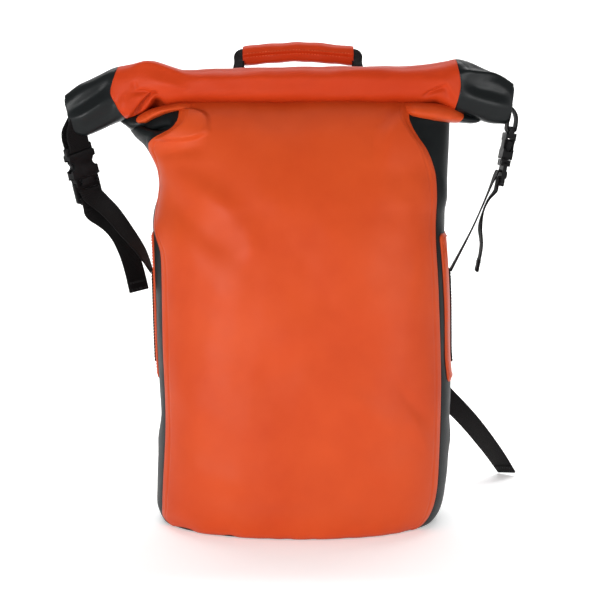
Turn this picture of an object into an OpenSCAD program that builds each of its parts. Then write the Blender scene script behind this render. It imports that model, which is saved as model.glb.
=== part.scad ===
// Roll-top dry bag backpack, standing on its base.
// Frame: origin at the centre of the base, +Z up, the front of the bag faces -Y.

/* [Body] */
// Width of the filled body, side to side
body_w = 312; // [290:1:330]
// Depth of the filled body, front to back
body_d = 204; // [190:1:212]
// Thickness of the coated fabric walls
wall = 2; // [1.5:0.1:3]
// Thickness of the welded base
base_t = 3; // [2:0.5:4]

/* [Roll closure] */
// Height of the crease that the roll rests on
neck_z = 433.5; // [432:0.5:435]
// Thickness of the rolled layers, measured as one wall
roll_wall = 3.5; // [2:0.5:5]

/* [Webbing and buckles] */
// Width of the webbing
web_w = 25; // [20:1:25]
// Thickness of the webbing
web_t = 1.4; // [1:0.1:1.5]
// Outside width of a side-release buckle
buckle_w = 32; // [31:0.5:34]
// Length of a buckle's female half, from its bar to its mouth
female_l = 34; // [33:0.5:36]

/* [Harness] */
// Width of a shoulder pad
pad_w = 60; // [50:1:62]
// Thickness of a shoulder pad
pad_t = 11; // [8:0.5:11]
// Thickness of the padded back panel
back_pad_t = 6.5; // [5:0.5:6.5]

/* [Hidden] */

orange = [0.82, 0.27, 0.12];
black = [0.13, 0.14, 0.15];
webbing = [0.07, 0.07, 0.07];
plastic = [0.05, 0.05, 0.06];

// ---------------------------------------------------------------- body shape
// Cross-sections of the body, lowest first:
// [height, half width / half body_w, half depth / half body_d, centre y, roundness, front seam angle]
STATIONS = [
    [0, 0.950, 0.92, 0, 3.0, 34],
    [14, 0.982, 0.97, 0, 3.0, 34],
    [60, 0.995, 0.99, 0, 2.9, 34],
    [160, 1.000, 1.00, 0, 2.8, 34],
    [260, 1.000, 0.98, 0, 2.7, 34],
    [330, 0.965, 0.90, 2, 2.6, 36],
    [375, 0.950, 0.77, 4, 2.5, 42],
    [398, 0.955, 0.65, 5, 2.2, 44],
    [407, 1.060, 0.57, 6, 1.8, 34],
    [413, 1.140, 0.48, 6, 1.6, 24],
    [419, 1.060, 0.38, 6, 1.6, 24],
    [426, 0.890, 0.27, 6, 1.8, 26],
    [neck_z, 0.760, 0.14, 6, 2.0, 30]
];
back_seam = 34;
RING_Z = [base_t, 14, 34, 60, 110, 160, 210, 260, 295, 330, 353, 375, 398, 407, 413, 419, 426, neck_z];

function column(k) = [for (s = STATIONS) [s[0], s[k]]];
HALF_W = column(1);
HALF_D = column(2);
MID_Y = column(3);
ROUND = column(4);
SEAM = column(5);
function half_w(z) = lookup(z, HALF_W) * body_w / 2;
function half_d(z) = lookup(z, HALF_D) * body_d / 2;

// Point on the body at a height and a turn angle (0 = +X, 90 = back, -90 = front), moved out by off
function skin(z, turn, off = 0) =
    let (n = lookup(z, ROUND), c = cos(turn), s = sin(turn))
    let (r = pow(pow(abs(c), n) + pow(abs(s), n), -1 / n))
    [(half_w(z) + off) * c * r, lookup(z, MID_Y) + (half_d(z) + off) * s * r, z];

// Points on a side (dir = 1 right, -1 left) at a given y, and on the back at a given x
function side_skin(dir, z, y, off) =
    let (n = lookup(z, ROUND), k = abs(y - lookup(z, MID_Y)) / (half_d(z) + off))
    [dir * (half_w(z) + off) * pow(1 - pow(k, n), 1 / n), y, z];
function back_skin(z, x, off) =
    let (n = lookup(z, ROUND), k = abs(x) / (half_w(z) + off))
    [x, lookup(z, MID_Y) + (half_d(z) + off) * pow(1 - pow(k, n), 1 / n), z];

// ------------------------------------------------------------ generic solids
// Closed slab between two equal grids of points; outer and inner are lists of rows
module slab(outer, inner) {
    rows = len(outer);
    cols = len(outer[0]);
    half = rows * cols;
    points = concat([for (r = outer) for (p = r) p], [for (r = inner) for (p = r) p]);
    skins = [for (i = [0:rows - 2]) for (j = [0:cols - 2])
        let (a = i * cols + j, b = a + 1, c = a + cols + 1, d = a + cols)
        each [[a, b, c], [a, c, d], [half + a, half + c, half + b], [half + a, half + d, half + c]]];
    ends = [for (j = [0:cols - 2])
        let (a = j, b = j + 1, c = (rows - 1) * cols + j, d = c + 1)
        each [[a, half + a, half + b], [a, half + b, b], [c, d, half + d], [c, half + d, half + c]]];
    sides = [for (i = [0:rows - 2])
        let (a = i * cols, b = a + cols, c = a + cols - 1, d = c + cols)
        each [[a, b, half + b], [a, half + b, half + a], [c, half + c, half + d], [c, half + d, d]]];
    polyhedron(points, concat(skins, ends, sides));
}

function unit(v) = v / norm(v);
function spline_at(p, i, t) =
    let (a = p[max(i - 1, 0)], b = p[i], c = p[i + 1], d = p[min(i + 2, len(p) - 1)])
    0.5 * (2 * b + (c - a) * t + (2 * a - 5 * b + 4 * c - d) * t * t + (3 * b - 3 * c + d - a) * t * t * t);
function smooth(p, steps) =
    concat([for (i = [0:len(p) - 2]) for (k = [0:steps - 1]) spline_at(p, i, k / steps)], [p[len(p) - 1]]);
function along(path, i) = unit(path[min(i + 1, len(path) - 1)] - path[max(i - 1, 0)]);

// A strap swept along path; across gives its width direction at each point, section its outline
module strap(path, across, section) {
    n = len(path);
    m = len(section);
    points = [for (i = [0:n - 1])
        let (t = along(path, i), w = unit(across[i] - (across[i] * t) * t), up = cross(w, t))
        for (s = section) path[i] + s[0] * w + s[1] * up];
    tube = [for (i = [0:n - 2]) for (j = [0:m - 1])
        let (a = i * m + j, b = i * m + (j + 1) % m, c = b + m, d = a + m)
        each [[a, b, c], [a, c, d]]];
    caps = [for (j = [1:m - 2]) each [[0, j + 1, j], [(n - 1) * m, (n - 1) * m + j, (n - 1) * m + j + 1]]];
    polyhedron(points, concat(tube, caps));
}

function flat_section(w, t, lift = 0) =
    [[w / 2, lift - t / 2], [w / 2, lift + t / 2], [-w / 2, lift + t / 2], [-w / 2, lift - t / 2]];
function pad_section(w, t) =
    [for (a = [0:30:330])
        [(w - t) / 2 * sign(cos(a) + 0.001 * sign(cos(a))) + t / 2 * cos(a), t / 2 * sin(a)]];

module webbing_strap(points, across, steps = 4, w = web_w, t = web_t, lift = 0) {
    color(webbing) strap(smooth(points, steps), smooth(across, steps), flat_section(w, t, lift));
}

// ------------------------------------------------------------- shell panels
// Panel of the body between two seams, each given as an angle that depends on the height
module body_panel(from, to, cols) {
    function row(z, off) = [for (j = [0:cols])
        let (a = from(z), b = to(z)) skin(z, a + (b - a) * j / cols, off)];
    slab([for (z = RING_Z) row(z, 0)], [for (z = RING_Z) row(z, -wall)]);
}

module front_panel() {
    color(orange) body_panel(function (z) -180 + lookup(z, SEAM), function (z) -lookup(z, SEAM), 14);
}

module back_panel() {
    color(orange) body_panel(function (z) back_seam, function (z) 180 - back_seam, 14);
}

module side_panel_right() {
    color(black) body_panel(function (z) -lookup(z, SEAM), function (z) back_seam, 8);
}

module side_panel_left() {
    color(black) body_panel(function (z) 180 - back_seam, function (z) 180 + lookup(z, SEAM), 8);
}

module base_panel() {
    outline = [for (a = [0:7.5:352.5]) let (p = skin(base_t, a)) [p[0], p[1]]];
    color(black) linear_extrude(base_t) polygon(outline);
}

// -------------------------------------------------------------- roll closure
// Cross-sections of the roll, left to right:
// [x, y, height above the crease, half depth, half height, lean of the section's top along x]
ROLL = [
    [-241, -14, -8, 9, 16, -5],
    [-222, -13, -3, 13, 25, -3],
    [-191, -9, 10, 17, 27, 0],
    [-176, -7, 14, 19, 26, 0],
    [-157, -6, 18.5, 21, 26, 0],
    [-118, -6, 18.2, 22, 17.7, 0],
    [-60, -6, 19.6, 22, 19, 0],
    [0, -6, 20, 22, 19.6, 0],
    [60, -6, 20.2, 22, 19.8, 0],
    [118, -6, 20.5, 22, 20, 0],
    [143, -6, 21, 22, 21.5, 0],
    [159, -6, 21.8, 21, 24, 0],
    [188, -5, 12.5, 17, 22.8, 3],
    [211, -3, 3, 12, 20, 5]
];
ROLL_SIDES = 24;

function roll_ring(s, inset) = [for (k = [0:ROLL_SIDES - 1])
    let (a = 360 * k / ROLL_SIDES)
    [s[0] + s[5] * sin(a), s[1] + (s[3] - inset) * cos(a), neck_z + s[2] + (s[4] - inset) * sin(a)]];

// Hollow length of the roll between two of its cross-sections
module roll_tube(first, last) {
    m = ROLL_SIDES;
    n = last - first + 1;
    half = n * m;
    points = concat(
        [for (i = [first:last]) each roll_ring(ROLL[i], 0)],
        [for (i = [first:last]) each roll_ring(ROLL[i], roll_wall)]);
    walls = [for (i = [0:n - 2]) for (j = [0:m - 1])
        let (a = i * m + j, b = i * m + (j + 1) % m, c = b + m, d = a + m)
        each [[a, c, b], [a, d, c], [half + a, half + b, half + c], [half + a, half + c, half + d]]];
    ends = [for (j = [0:m - 1])
        let (a = j, b = (j + 1) % m, c = (n - 1) * m + j, d = (n - 1) * m + (j + 1) % m)
        each [[a, b, half + b], [a, half + b, half + a], [c, half + d, d], [c, half + c, half + d]]];
    polyhedron(points, concat(walls, ends));
}

module roll_end_left() { color(black) roll_tube(0, 3); }
module roll_center() { color(orange) roll_tube(3, 11); }
module roll_end_right() { color(black) roll_tube(11, 13); }

// Flat plastic strip that the mouth is rolled around
module closure_stiffener() {
    strip_l = 300;
    color(plastic) translate([-strip_l / 2, -7, neck_z + 10]) cube([strip_l, 2, 20]);
}

// --------------------------------------------------------- side straps, sewn
anchor_z = 262;
module side_piece(dir, y_half, z_low, z_high, near, far) {
    zs = [for (k = [0:6]) z_low + (z_high - z_low) * k / 6];
    ys = [for (k = [-3:3]) y_half * k / 3 * dir];
    slab([for (z = zs) [for (y = ys) side_skin(dir, z, y, far)]],
         [for (z = zs) [for (y = ys) side_skin(dir, z, y, near)]]);
}
patch_gap = 0.6;
patch_t = 1;
strip_gap = 2.2;
module side_patch(dir) { color(orange) side_piece(dir, 27, 152, 304, patch_gap, patch_gap + patch_t); }
module sewn_strip(dir) {
    color(webbing) side_piece(dir, web_w / 2, 168, anchor_z - 1, strip_gap, strip_gap + web_t);
}
module side_patch_left() { side_patch(-1); }
module side_patch_right() { side_patch(1); }
module sewn_strip_left() { sewn_strip(-1); }
module sewn_strip_right() { sewn_strip(1); }

// -------------------------------------------------- side-release buckles
// Each buckle has its own frame: z up its axis, x across it, y through it, and z = 0 at the female's mouth
mouth_left = [-225.5, -7, 360];
mouth_right = [209, 0, 378];
tilt_left = -11;
lean_left = 12;
spin_left = 222;
tilt_right = 10;
spin_right = 90;

function turn_z(p, a) = [p[0] * cos(a) - p[1] * sin(a), p[0] * sin(a) + p[1] * cos(a), p[2]];
function turn_x(p, a) = [p[0], p[1] * cos(a) - p[2] * sin(a), p[1] * sin(a) + p[2] * cos(a)];
function turn_y(p, a) = [p[0] * cos(a) + p[2] * sin(a), p[1], -p[0] * sin(a) + p[2] * cos(a)];
function dir_left(p) = turn_y(turn_x(turn_z(p, spin_left), lean_left), tilt_left);
function dir_right(p) = turn_y(turn_z(p, spin_right), tilt_right);
function at_left(p) = mouth_left + dir_left(p);
function at_right(p) = mouth_right + dir_right(p);

module buckle_frame_left() {
    translate(mouth_left) rotate([0, tilt_left, 0]) rotate([lean_left, 0, 0]) rotate([0, 0, spin_left])
        children();
}
module buckle_frame_right() {
    translate(mouth_right) rotate([0, tilt_right, 0]) rotate([0, 0, spin_right]) children();
}

module block(x, y, z0, z1) { translate([-x / 2, -y / 2, z0]) cube([x, y, z1 - z0]); }

throat_w = 25;
throat_t = 6;
slot_w = 26.5;
window_low = 8;
window_high = 22;
female_t = 10.5;
bar_t = 3.4;
bar_z = female_l - bar_t;
slot_z = bar_z - 3.2;

// Plate outline with rounded corners, standing in the buckle's x-z plane
module plate(w, z0, z1, t, r) {
    rotate([90, 0, 0]) translate([0, 0, -t / 2]) linear_extrude(t) union() {
        translate([-w / 2 + r, z0]) square([w - 2 * r, z1 - z0]);
        translate([-w / 2, z0 + r]) square([w, z1 - z0 - 2 * r]);
        for (x = [-w / 2 + r, w / 2 - r], z = [z0 + r, z1 - r]) translate([x, z]) circle(r, $fn = 32);
    }
}

module buckle_female() {
    color(plastic) difference() {
        union() {
            plate(buckle_w, 0, slot_z, female_t, 2.5);
            plate(buckle_w, slot_z - 6, female_l, bar_t + 1.4, 2);
        }
        block(throat_w, throat_t, -1, window_high + 1);
        block(buckle_w + 2, throat_t, window_low, window_high);
        block(slot_w, female_t, slot_z, bar_z);
        // finger scoops over the windows, front and rear
        for (x = [-buckle_w / 2, buckle_w / 2]) translate([x, 0, (window_low + window_high) / 2])
            rotate([90, 0, 0]) cylinder(h = female_t + 2, r = 5, center = true, $fn = 48);
    }
}

frame_t = 4;
frame_low = -28;
upper_slot = [-14, -11.4];
lower_slot = [-20.6, -18];
grip_w = 22;
grip_lip = 0.8;

module buckle_male() {
    color(plastic) difference() {
        union() {
            plate(buckle_w, frame_low + 3, -3, frame_t, 2.5);
            translate([0, -grip_lip / 2, 0]) plate(grip_w, frame_low, frame_low + 6, frame_t + grip_lip, 2);
            block(throat_w + 3, female_t - 1, -7, -0.3);
            block(2.4, throat_t - 1, -1, 19);
        }
        for (s = [upper_slot, lower_slot]) block(slot_w - 0.5, female_t, s[0], s[1]);
        // room in which the roots of the prongs turn
        for (x = [-prong_x, prong_x]) translate([x, 0, hinge_z]) rotate([90, 0, 0])
            cylinder(h = female_t, r = root_r + 0.2, center = true, $fn = 48);
        for (x = [-prong_x, prong_x]) translate([x, 0, 0]) block(2 * root_r + 1.4, female_t, hinge_z, 1);
    }
}

// Prong that springs outward into the female's window; x_dir = -1 or 1
hinge_z = -4;
prong_x = 9.6;
prong_t = throat_t - 1;
root_r = 2.2;
module prong(x_dir) {
    color(plastic) mirror([x_dir < 0 ? 1 : 0, 0, 0]) rotate([90, 0, 0])
        translate([0, 0, -prong_t / 2]) linear_extrude(prong_t) union() {
            translate([prong_x, hinge_z]) circle(root_r, $fn = 48);
            polygon([[8.4, hinge_z], [11.2, hinge_z], [12, 8], [12.6, 14], [15, 18.5], [14.2, 19.6],
                     [9.2, 21], [8.2, 18], [9.2, 10]]);
        }
}

module buckle_female_left() { buckle_frame_left() buckle_female(); }
module buckle_female_right() { buckle_frame_right() buckle_female(); }
module buckle_male_left() { buckle_frame_left() buckle_male(); }
module buckle_male_right() { buckle_frame_right() buckle_male(); }
module prong_front_left() { buckle_frame_left() prong(1); }
module prong_rear_left() { buckle_frame_left() prong(-1); }
module prong_front_right() { buckle_frame_right() prong(-1); }
module prong_rear_right() { buckle_frame_right() prong(1); }

// Webbing loop sewn to the end of the roll, passing under the female's bar
loop_gap = 0.4;
loop_r = bar_t / 2 + 1 + loop_gap;
// reach is how far the front and the rear leg go up past the bar
module buckle_loop(reach) {
    mid_z = bar_z + bar_t / 2;
    color(webbing) rotate([90, 0, 90]) translate([0, 0, -web_w / 2]) linear_extrude(web_w) {
        difference() {
            translate([0, mid_z]) circle(loop_r + web_t, $fn = 48);
            translate([0, mid_z]) circle(loop_r, $fn = 48);
            translate([-2 * loop_r, mid_z]) square([4 * loop_r, 3 * loop_r]);
        }
        translate([-loop_r - web_t, mid_z]) square([web_t, reach[0]]);
        translate([loop_r, mid_z]) square([web_t, reach[1]]);
    }
}
module buckle_loop_left() { buckle_frame_left() buckle_loop([8, 8]); }
module buckle_loop_right() { buckle_frame_right() buckle_loop([17, 4]); }

// Webbing threaded round the middle bar of the male's ladder lock
layer_y = frame_t / 2 + 0.3;
strap_y = layer_y + web_t + 1.3;
wrap_top = upper_slot[0] + 1.9;
wrap_low = lower_slot[1] - 1.9;
tail_top = frame_low - 1.5;
layer_low = tail_top + 1.4;
module strap_wrap() {
    front = -frame_t / 2 - 0.4 - web_t;
    color(webbing) translate([-web_w / 2, 0, 0]) {
        translate([0, front, wrap_low]) cube([web_w, web_t, wrap_top - wrap_low]);
        translate([0, front, wrap_top - web_t]) cube([web_w, strap_y - web_t / 2 - 0.2 - front, web_t]);
        translate([0, front, wrap_low]) cube([web_w, layer_y + web_t - front, web_t]);
        translate([0, layer_y, layer_low]) cube([web_w, web_t, wrap_low + web_t - layer_low]);
    }
}
module strap_wrap_left() { buckle_frame_left() strap_wrap(); }
module strap_wrap_right() { buckle_frame_right() strap_wrap(); }

// Diagonal straps from the ladder locks down to the bag's sides
tail_y = layer_y + web_t / 2;
side_out = body_w / 2 + strip_gap + web_t / 2;
across_left = dir_left([-1, 0, 0]);

module side_strap_left() {
    webbing_strap(
        [at_left([0, strap_y, wrap_top]), at_left([0, strap_y + 1.5, wrap_top - 6]), [-209, -6.5, 334],
         [-198, -5.5, 323], [-185, -4, 306], [-170, -2, 283], [-side_out, 0, anchor_z]],
        [across_left, across_left, [0.6, 0.74, 0.3], [0.5, 0.8, 0.3], [0.42, 0.86, 0.25], [0.25, 0.95, 0.12],
         [0, 1, 0]], 3);
}
module side_strap_right() {
    webbing_strap(
        [at_right([0, strap_y, wrap_top]), at_right([0, strap_y + 1.5, wrap_top - 6]), [194.6, 0, 349.5],
         [187, 0, 330.5], [175.5, 0, 302.3], [side_out, 0, anchor_z]],
        [for (k = [0:5]) [0, -1, 0]], 3);
}

// Loose ends of the side straps, with the folded and stitched end that stops them slipping out
hem_l = 12;
module tail(points, across, steps = 4) {
    path = smooth(points, steps);
    n = len(path) - 1;
    end_across = across[len(across) - 1];
    webbing_strap(points, across, steps);
    color(webbing) strap([path[n] - hem_l * along(path, n), path[n]], [end_across, end_across],
        flat_section(web_w - 0.6, 2 * web_t));
}
module strap_tail_left() {
    tail([at_left([0, tail_y, tail_top]), at_left([0, tail_y, tail_top - 3]),
          at_left([0, tail_y, tail_top - 6.5]), [-210, 3, 319.5], [-201, 6.5, 311],
          [-191, 7.5, 298.5], [-182.5, 7.5, 280], [-176.5, 6.5, 260], [-173.5, 5.5, 240]],
         [across_left, across_left, across_left, [0.66, 0.65, 0.35], [0.65, 0.7, 0.3], [0.65, 0.7, 0.3],
          [0.65, 0.7, 0.3], [0.66, 0.68, 0.3], [0.68, 0.66, 0.3]], 3);
}
module strap_tail_right() {
    tail([at_right([0, tail_y, tail_top]), at_right([0, tail_y + 0.5, tail_top - 5]), [192.8, 0, 336],
          [187.6, 0, 324], [184.6, 0, 307], [186, 0, 287], [181.5, 0, 262]],
         [for (k = [0:6]) [0, -1, 0]], 3);
}

// -------------------------------------------------------------- carry handle
grip_mid = -5;
grip_half = 60;
leg_half = 66;
handle_y = 52;
handle_hinge_z = 444;
grip_z = 487;
grip_h = 21;
grip_d = 25;
grip_turn = 45;
hinge_gap = 1;
foot_off = 5;

module handle_webbing() {
    turn = leg_half - grip_half;
    top = grip_z;
    right = [[leg_half, handle_y, handle_hinge_z + hinge_gap], [leg_half + 1, handle_y, handle_hinge_z + 18],
             [leg_half, handle_y, top - 10], [grip_half + 1, handle_y, top - 2],
             [grip_half - turn, handle_y, top]];
    inside = [0, cos(grip_turn), sin(grip_turn)];
    across = [[1, 0.15, 0], [0.75, 0.65, 0], [0.4, 0.85, 0.3], [0.15, 0.75, 0.6], inside];
    last = len(right) - 1;
    shift = [grip_mid, 0, 0];
    points = concat(
        [for (p = right) [-p[0], p[1], p[2]] + shift],
        [for (k = [last:-1:0]) right[k] + shift]);
    widths = concat(
        [for (a = across) [-a[0], a[1], a[2]]],
        [for (k = [last:-1:0]) across[k]]);
    webbing_strap(points, widths, 4, web_w - 3);
}

// Padded sleeve around the grip, slotted for the webbing
module handle_sleeve() {
    length = 2 * (grip_half - 5);
    color(orange) translate([grip_mid - length / 2, handle_y, grip_z]) rotate([90, 0, 90])
        linear_extrude(length) difference() {
            union() {
                square([grip_d - grip_h, grip_h], center = true);
                for (y = [-1, 1]) translate([y * (grip_d - grip_h) / 2, 0]) circle(grip_h / 2, $fn = 48);
            }
            rotate(grip_turn) square([web_w - 2.6, web_t + 0.8], center = true);
        }
}

// Lower ends of the handle's webbing, sewn to the upper back
module handle_anchor() {
    for (s = [-1, 1]) {
        x = grip_mid + s * leg_half;
        foot = [for (z = [412, 404, 394, 384]) back_skin(z, x, foot_off)];
        webbing_strap(concat([[x, handle_y, handle_hinge_z - hinge_gap], [x, handle_y + 3, 430]], foot),
            [for (k = [0:5]) [1, -0.2 * s, 0]], 3, web_w - 3);
    }
}

// ------------------------------------------------------------------- harness
module back_piece(x_half, z_low, z_high, near, far, cols, rows) {
    zs = [for (k = [0:rows]) z_low + (z_high - z_low) * k / rows];
    xs = [for (k = [0:cols]) x_half * (1 - 2 * k / cols)];
    slab([for (z = zs) [for (x = xs) back_skin(z, x, far)]],
         [for (z = zs) [for (x = xs) back_skin(z, x, near)]]);
}

module back_pad() { color(black) back_piece(98, 55, 330, 1, 1 + back_pad_t, 12, 10); }
module yoke_patch() { color(black) back_piece(70, 340, 396, 1, 2.6, 10, 6); }

// Centre line of the right shoulder pad, top first
PAD_LINE = [[38, 94, 368], [42, 110, 367], [49, 120, 350], [61, 122, 316], [76, 121, 278], [88, 120, 240],
            [94, 119, 216]];
PAD_ACROSS = [[1, 0, 0], [1, 0, 0], [1, 0, 0.15], [1, 0, 0.32], [1, 0, 0.32], [1, 0, 0.28], [1, 0, 0.2]];
PAD_WIDE = [0.75, 0.85, 1, 1, 0.95, 0.8, 0.6];
function flip(list, dir) = [for (p = list) [dir * p[0], p[1], p[2]]];

// A pad whose width changes along its length
module shoulder_pad(dir) {
    path = smooth(flip(PAD_LINE, dir), 3);
    across = smooth([for (a = PAD_ACROSS) [a[0], a[1], dir * a[2]]], 3);
    wide = smooth(PAD_WIDE, 3);
    n = len(path);
    m = len(pad_section(1, 1));
    points = [for (i = [0:n - 1])
        let (t = along(path, i), w = unit(across[i] - (across[i] * t) * t), up = cross(w, t))
        for (s = pad_section(pad_w * wide[i], pad_t)) path[i] + s[0] * w + s[1] * up];
    tube = [for (i = [0:n - 2]) for (j = [0:m - 1])
        let (a = i * m + j, b = i * m + (j + 1) % m, c = b + m, d = a + m)
        each [[a, b, c], [a, c, d]]];
    caps = [for (j = [1:m - 2]) each [[0, j + 1, j], [(n - 1) * m, (n - 1) * m + j, (n - 1) * m + j + 1]]];
    color(black) polyhedron(points, concat(tube, caps));
}
module shoulder_pad_left() { shoulder_pad(-1); }
module shoulder_pad_right() { shoulder_pad(1); }

// Webbing sewn along the outside of the pad and down to its ladder lock
module pad_webbing(dir) {
    lift = pad_t / 2 + web_t / 2 + 0.3;
    line = concat([for (k = [2:6]) PAD_LINE[k]], [[96, 117, 208]]);
    across = concat([for (k = [2:6]) PAD_ACROSS[k]], [[1, 0, 0.2]]);
    webbing_strap(flip(line, dir), [for (a = across) [a[0], a[1], dir * a[2]]], 3, web_w, web_t, -lift);
}
module pad_webbing_left() { pad_webbing(-1); }
module pad_webbing_right() { pad_webbing(1); }

// Ladder lock at the foot of a shoulder pad
lock_mid = [99, 122, 195];
lock_tilt = 12;
module ladder_lock(dir) {
    color(plastic) mirror([dir < 0 ? 1 : 0, 0, 0]) translate(lock_mid) rotate([0, -lock_tilt, 0])
        difference() {
            plate(32, -11, 11, 4, 2.5);
            for (z = [-6.2, 3]) block(slot_w, 6, z, z + 4.4);
        }
}
module ladder_lock_left() { ladder_lock(-1); }
module ladder_lock_right() { ladder_lock(1); }

// Reinforced tab at each lower rear corner
tab_z = 40;
module corner_tab() {
    zs = [for (k = [0:4]) tab_z - 22 + 11 * k];
    turns = [for (k = [0:6]) 33 + 3.2 * k];
    color(black) slab(
        [for (z = zs) [for (a = turns) skin(z, a, 2.8)]],
        [for (z = zs) [for (a = turns) skin(z, a, 1)]]);
}
module corner_tab_left() { mirror([1, 0, 0]) corner_tab(); }
module corner_tab_right() { corner_tab(); }

// Webbing from the corner tab up to the ladder lock
module lower_webbing(dir) {
    foot = skin(tab_z - 8, 43, 4.6);
    head = skin(tab_z + 16, 43, 4.8);
    webbing_strap(flip([foot, head, [112, 112, 110], [104, 117, 150], [101.5, 120, 181.5]], dir),
        [for (a = [[1, -0.75, 0], [1, -0.75, 0], [1, -0.35, 0.1], [1, -0.1, 0.15], [1, 0, 0.2]])
            [a[0], dir * a[1], dir * a[2]]], 3);
}
module lower_webbing_left() { lower_webbing(-1); }
module lower_webbing_right() { lower_webbing(1); }

// Loose ends of the lower webbing: the right one lies out to the side, the left one hangs
module lower_tail_right() {
    tail([[101, 127, 184], [107, 133, 167], [130, 131, 137], [160, 128, 108], [192, 140, 74],
          [222, 162, 35], [243, 182, 3.5]],
         [[1, 0, 0.2], [1, 0, 0.3], [0.8, -0.1, 0.6], [0.75, -0.3, 0.6], [0.75, -0.45, 0.5],
          [0.78, -0.55, 0.3], [0.8, -0.6, 0.1]], 3);
}
module lower_tail_left() {
    tail([[-101, 127, 184], [-104, 132, 165], [-108, 138, 130],
          [-111, 142, 90], [-113, 146, 50], [-115, 150, 14]],
         [for (k = [0:5]) [1, 0, 0.05]], 3);
}

front_panel();
back_panel();
side_panel_left();
side_panel_right();
base_panel();
roll_center();
roll_end_left();
roll_end_right();
closure_stiffener();
side_patch_left();
side_patch_right();
sewn_strip_left();
sewn_strip_right();
side_strap_left();
side_strap_right();
buckle_loop_left();
buckle_loop_right();
buckle_female_left();
buckle_female_right();
buckle_male_left();
buckle_male_right();
strap_wrap_left();
strap_wrap_right();
prong_front_left();
prong_rear_left();
prong_front_right();
prong_rear_right();
strap_tail_left();
strap_tail_right();
handle_anchor();
handle_webbing();
handle_sleeve();
yoke_patch();
back_pad();
shoulder_pad_left();
shoulder_pad_right();
pad_webbing_left();
pad_webbing_right();
ladder_lock_left();
ladder_lock_right();
corner_tab_left();
corner_tab_right();
lower_webbing_left();
lower_webbing_right();
lower_tail_left();
lower_tail_right();
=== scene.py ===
import math

import bmesh
import bpy
import numpy as np
from mathutils import Matrix, Vector


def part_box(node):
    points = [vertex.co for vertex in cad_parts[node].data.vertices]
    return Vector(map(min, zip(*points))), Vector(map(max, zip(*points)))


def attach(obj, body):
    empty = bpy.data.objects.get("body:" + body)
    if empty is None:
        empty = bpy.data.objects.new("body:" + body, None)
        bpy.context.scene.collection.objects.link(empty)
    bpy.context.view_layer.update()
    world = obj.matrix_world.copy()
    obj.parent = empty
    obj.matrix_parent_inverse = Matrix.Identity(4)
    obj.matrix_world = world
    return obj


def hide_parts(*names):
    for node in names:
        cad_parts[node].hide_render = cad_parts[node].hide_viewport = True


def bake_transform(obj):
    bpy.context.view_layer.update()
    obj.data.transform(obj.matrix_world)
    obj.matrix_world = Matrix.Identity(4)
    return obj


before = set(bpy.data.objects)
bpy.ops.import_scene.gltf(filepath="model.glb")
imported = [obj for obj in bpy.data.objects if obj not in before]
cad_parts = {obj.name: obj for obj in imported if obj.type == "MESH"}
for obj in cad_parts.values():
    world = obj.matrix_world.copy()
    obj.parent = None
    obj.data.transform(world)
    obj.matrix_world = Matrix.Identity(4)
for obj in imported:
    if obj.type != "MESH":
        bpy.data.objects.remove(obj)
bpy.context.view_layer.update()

# ------------------------------------------------------------------ the frame
base_lo, base_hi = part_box("base_panel")
HALF_W = (base_hi[0] - base_lo[0]) / 2 / 0.957      # half width of the filled body
HALF_D = (base_hi[1] - base_lo[1]) / 2 / 0.931      # half depth of the filled body
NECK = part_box("front_panel")[1][2]                  # height of the crease under the roll
WEB_W = 0.025
WEB_T = 0.0014


# ---------------------------------------------------------------- curve tools
def curve(points):
    """Smooth function through (place, value) points that never overshoots them."""
    x = np.array([p[0] for p in points], float)
    y = np.array([p[1] for p in points], float)
    h = np.diff(x)
    d = np.diff(y) / h
    m = np.zeros(len(x))
    m[0], m[-1] = d[0], d[-1]
    for i in range(1, len(x) - 1):
        if d[i - 1] * d[i] > 0:
            a, b = 2 * h[i] + h[i - 1], h[i] + 2 * h[i - 1]
            m[i] = (a + b) / (a / d[i - 1] + b / d[i])

    def f(q):
        q = np.clip(np.asarray(q, float), x[0], x[-1])
        i = np.clip(np.searchsorted(x, q) - 1, 0, len(h) - 1)
        t = (q - x[i]) / h[i]
        t2, t3 = t * t, t * t * t
        return ((2 * t3 - 3 * t2 + 1) * y[i] + (t3 - 2 * t2 + t) * h[i] * m[i]
                + (3 * t2 - 2 * t3) * y[i + 1] + (t3 - t2) * h[i] * m[i + 1])
    return f


def spline(points, steps):
    """Catmull-Rom points, the same curve as the straps' solids follow."""
    p = np.array(points, float)
    out = []
    for i in range(len(p) - 1):
        a, b, c, d = p[max(i - 1, 0)], p[i], p[i + 1], p[min(i + 2, len(p) - 1)]
        for k in range(steps):
            t = k / steps
            out.append(0.5 * (2 * b + (c - a) * t + (2 * a - 5 * b + 4 * c - d) * t * t
                              + (3 * b - 3 * c + d - a) * t ** 3))
    out.append(p[-1])
    return np.array(out)


def smoothstep(v, lo, hi):
    t = np.clip((v - lo) / (hi - lo), 0, 1)
    return t * t * (3 - 2 * t)


def unit(v):
    return v / np.maximum(np.linalg.norm(v, axis=-1, keepdims=True), 1e-12)


def squircle(c, s, n):
    """Radius of a superellipse of power n in the direction (c, s)."""
    return (np.abs(c) ** n + np.abs(s) ** n) ** (-1 / n)


def run_length(p, axis=0):
    """Distance covered along a line of points, or along one axis of a grid of them."""
    step = np.linalg.norm(np.diff(p, axis=axis), axis=-1)
    return np.concatenate([np.zeros_like(np.take(step, [0], axis)), np.cumsum(step, axis=axis)], axis=axis)


def waves(u, v, count, length, seed):
    """Soft random swells over a surface, about one unit high."""
    r = np.random.RandomState(seed)
    out = np.zeros(np.shape(u))
    for _ in range(count):
        a = r.uniform(0, 2 * math.pi)
        k = 2 * math.pi / (length * r.uniform(0.6, 1.6))
        out += np.sin(k * (np.cos(a) * u + np.sin(a) * v) + r.uniform(0, 2 * math.pi))
    return out / math.sqrt(count)


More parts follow.
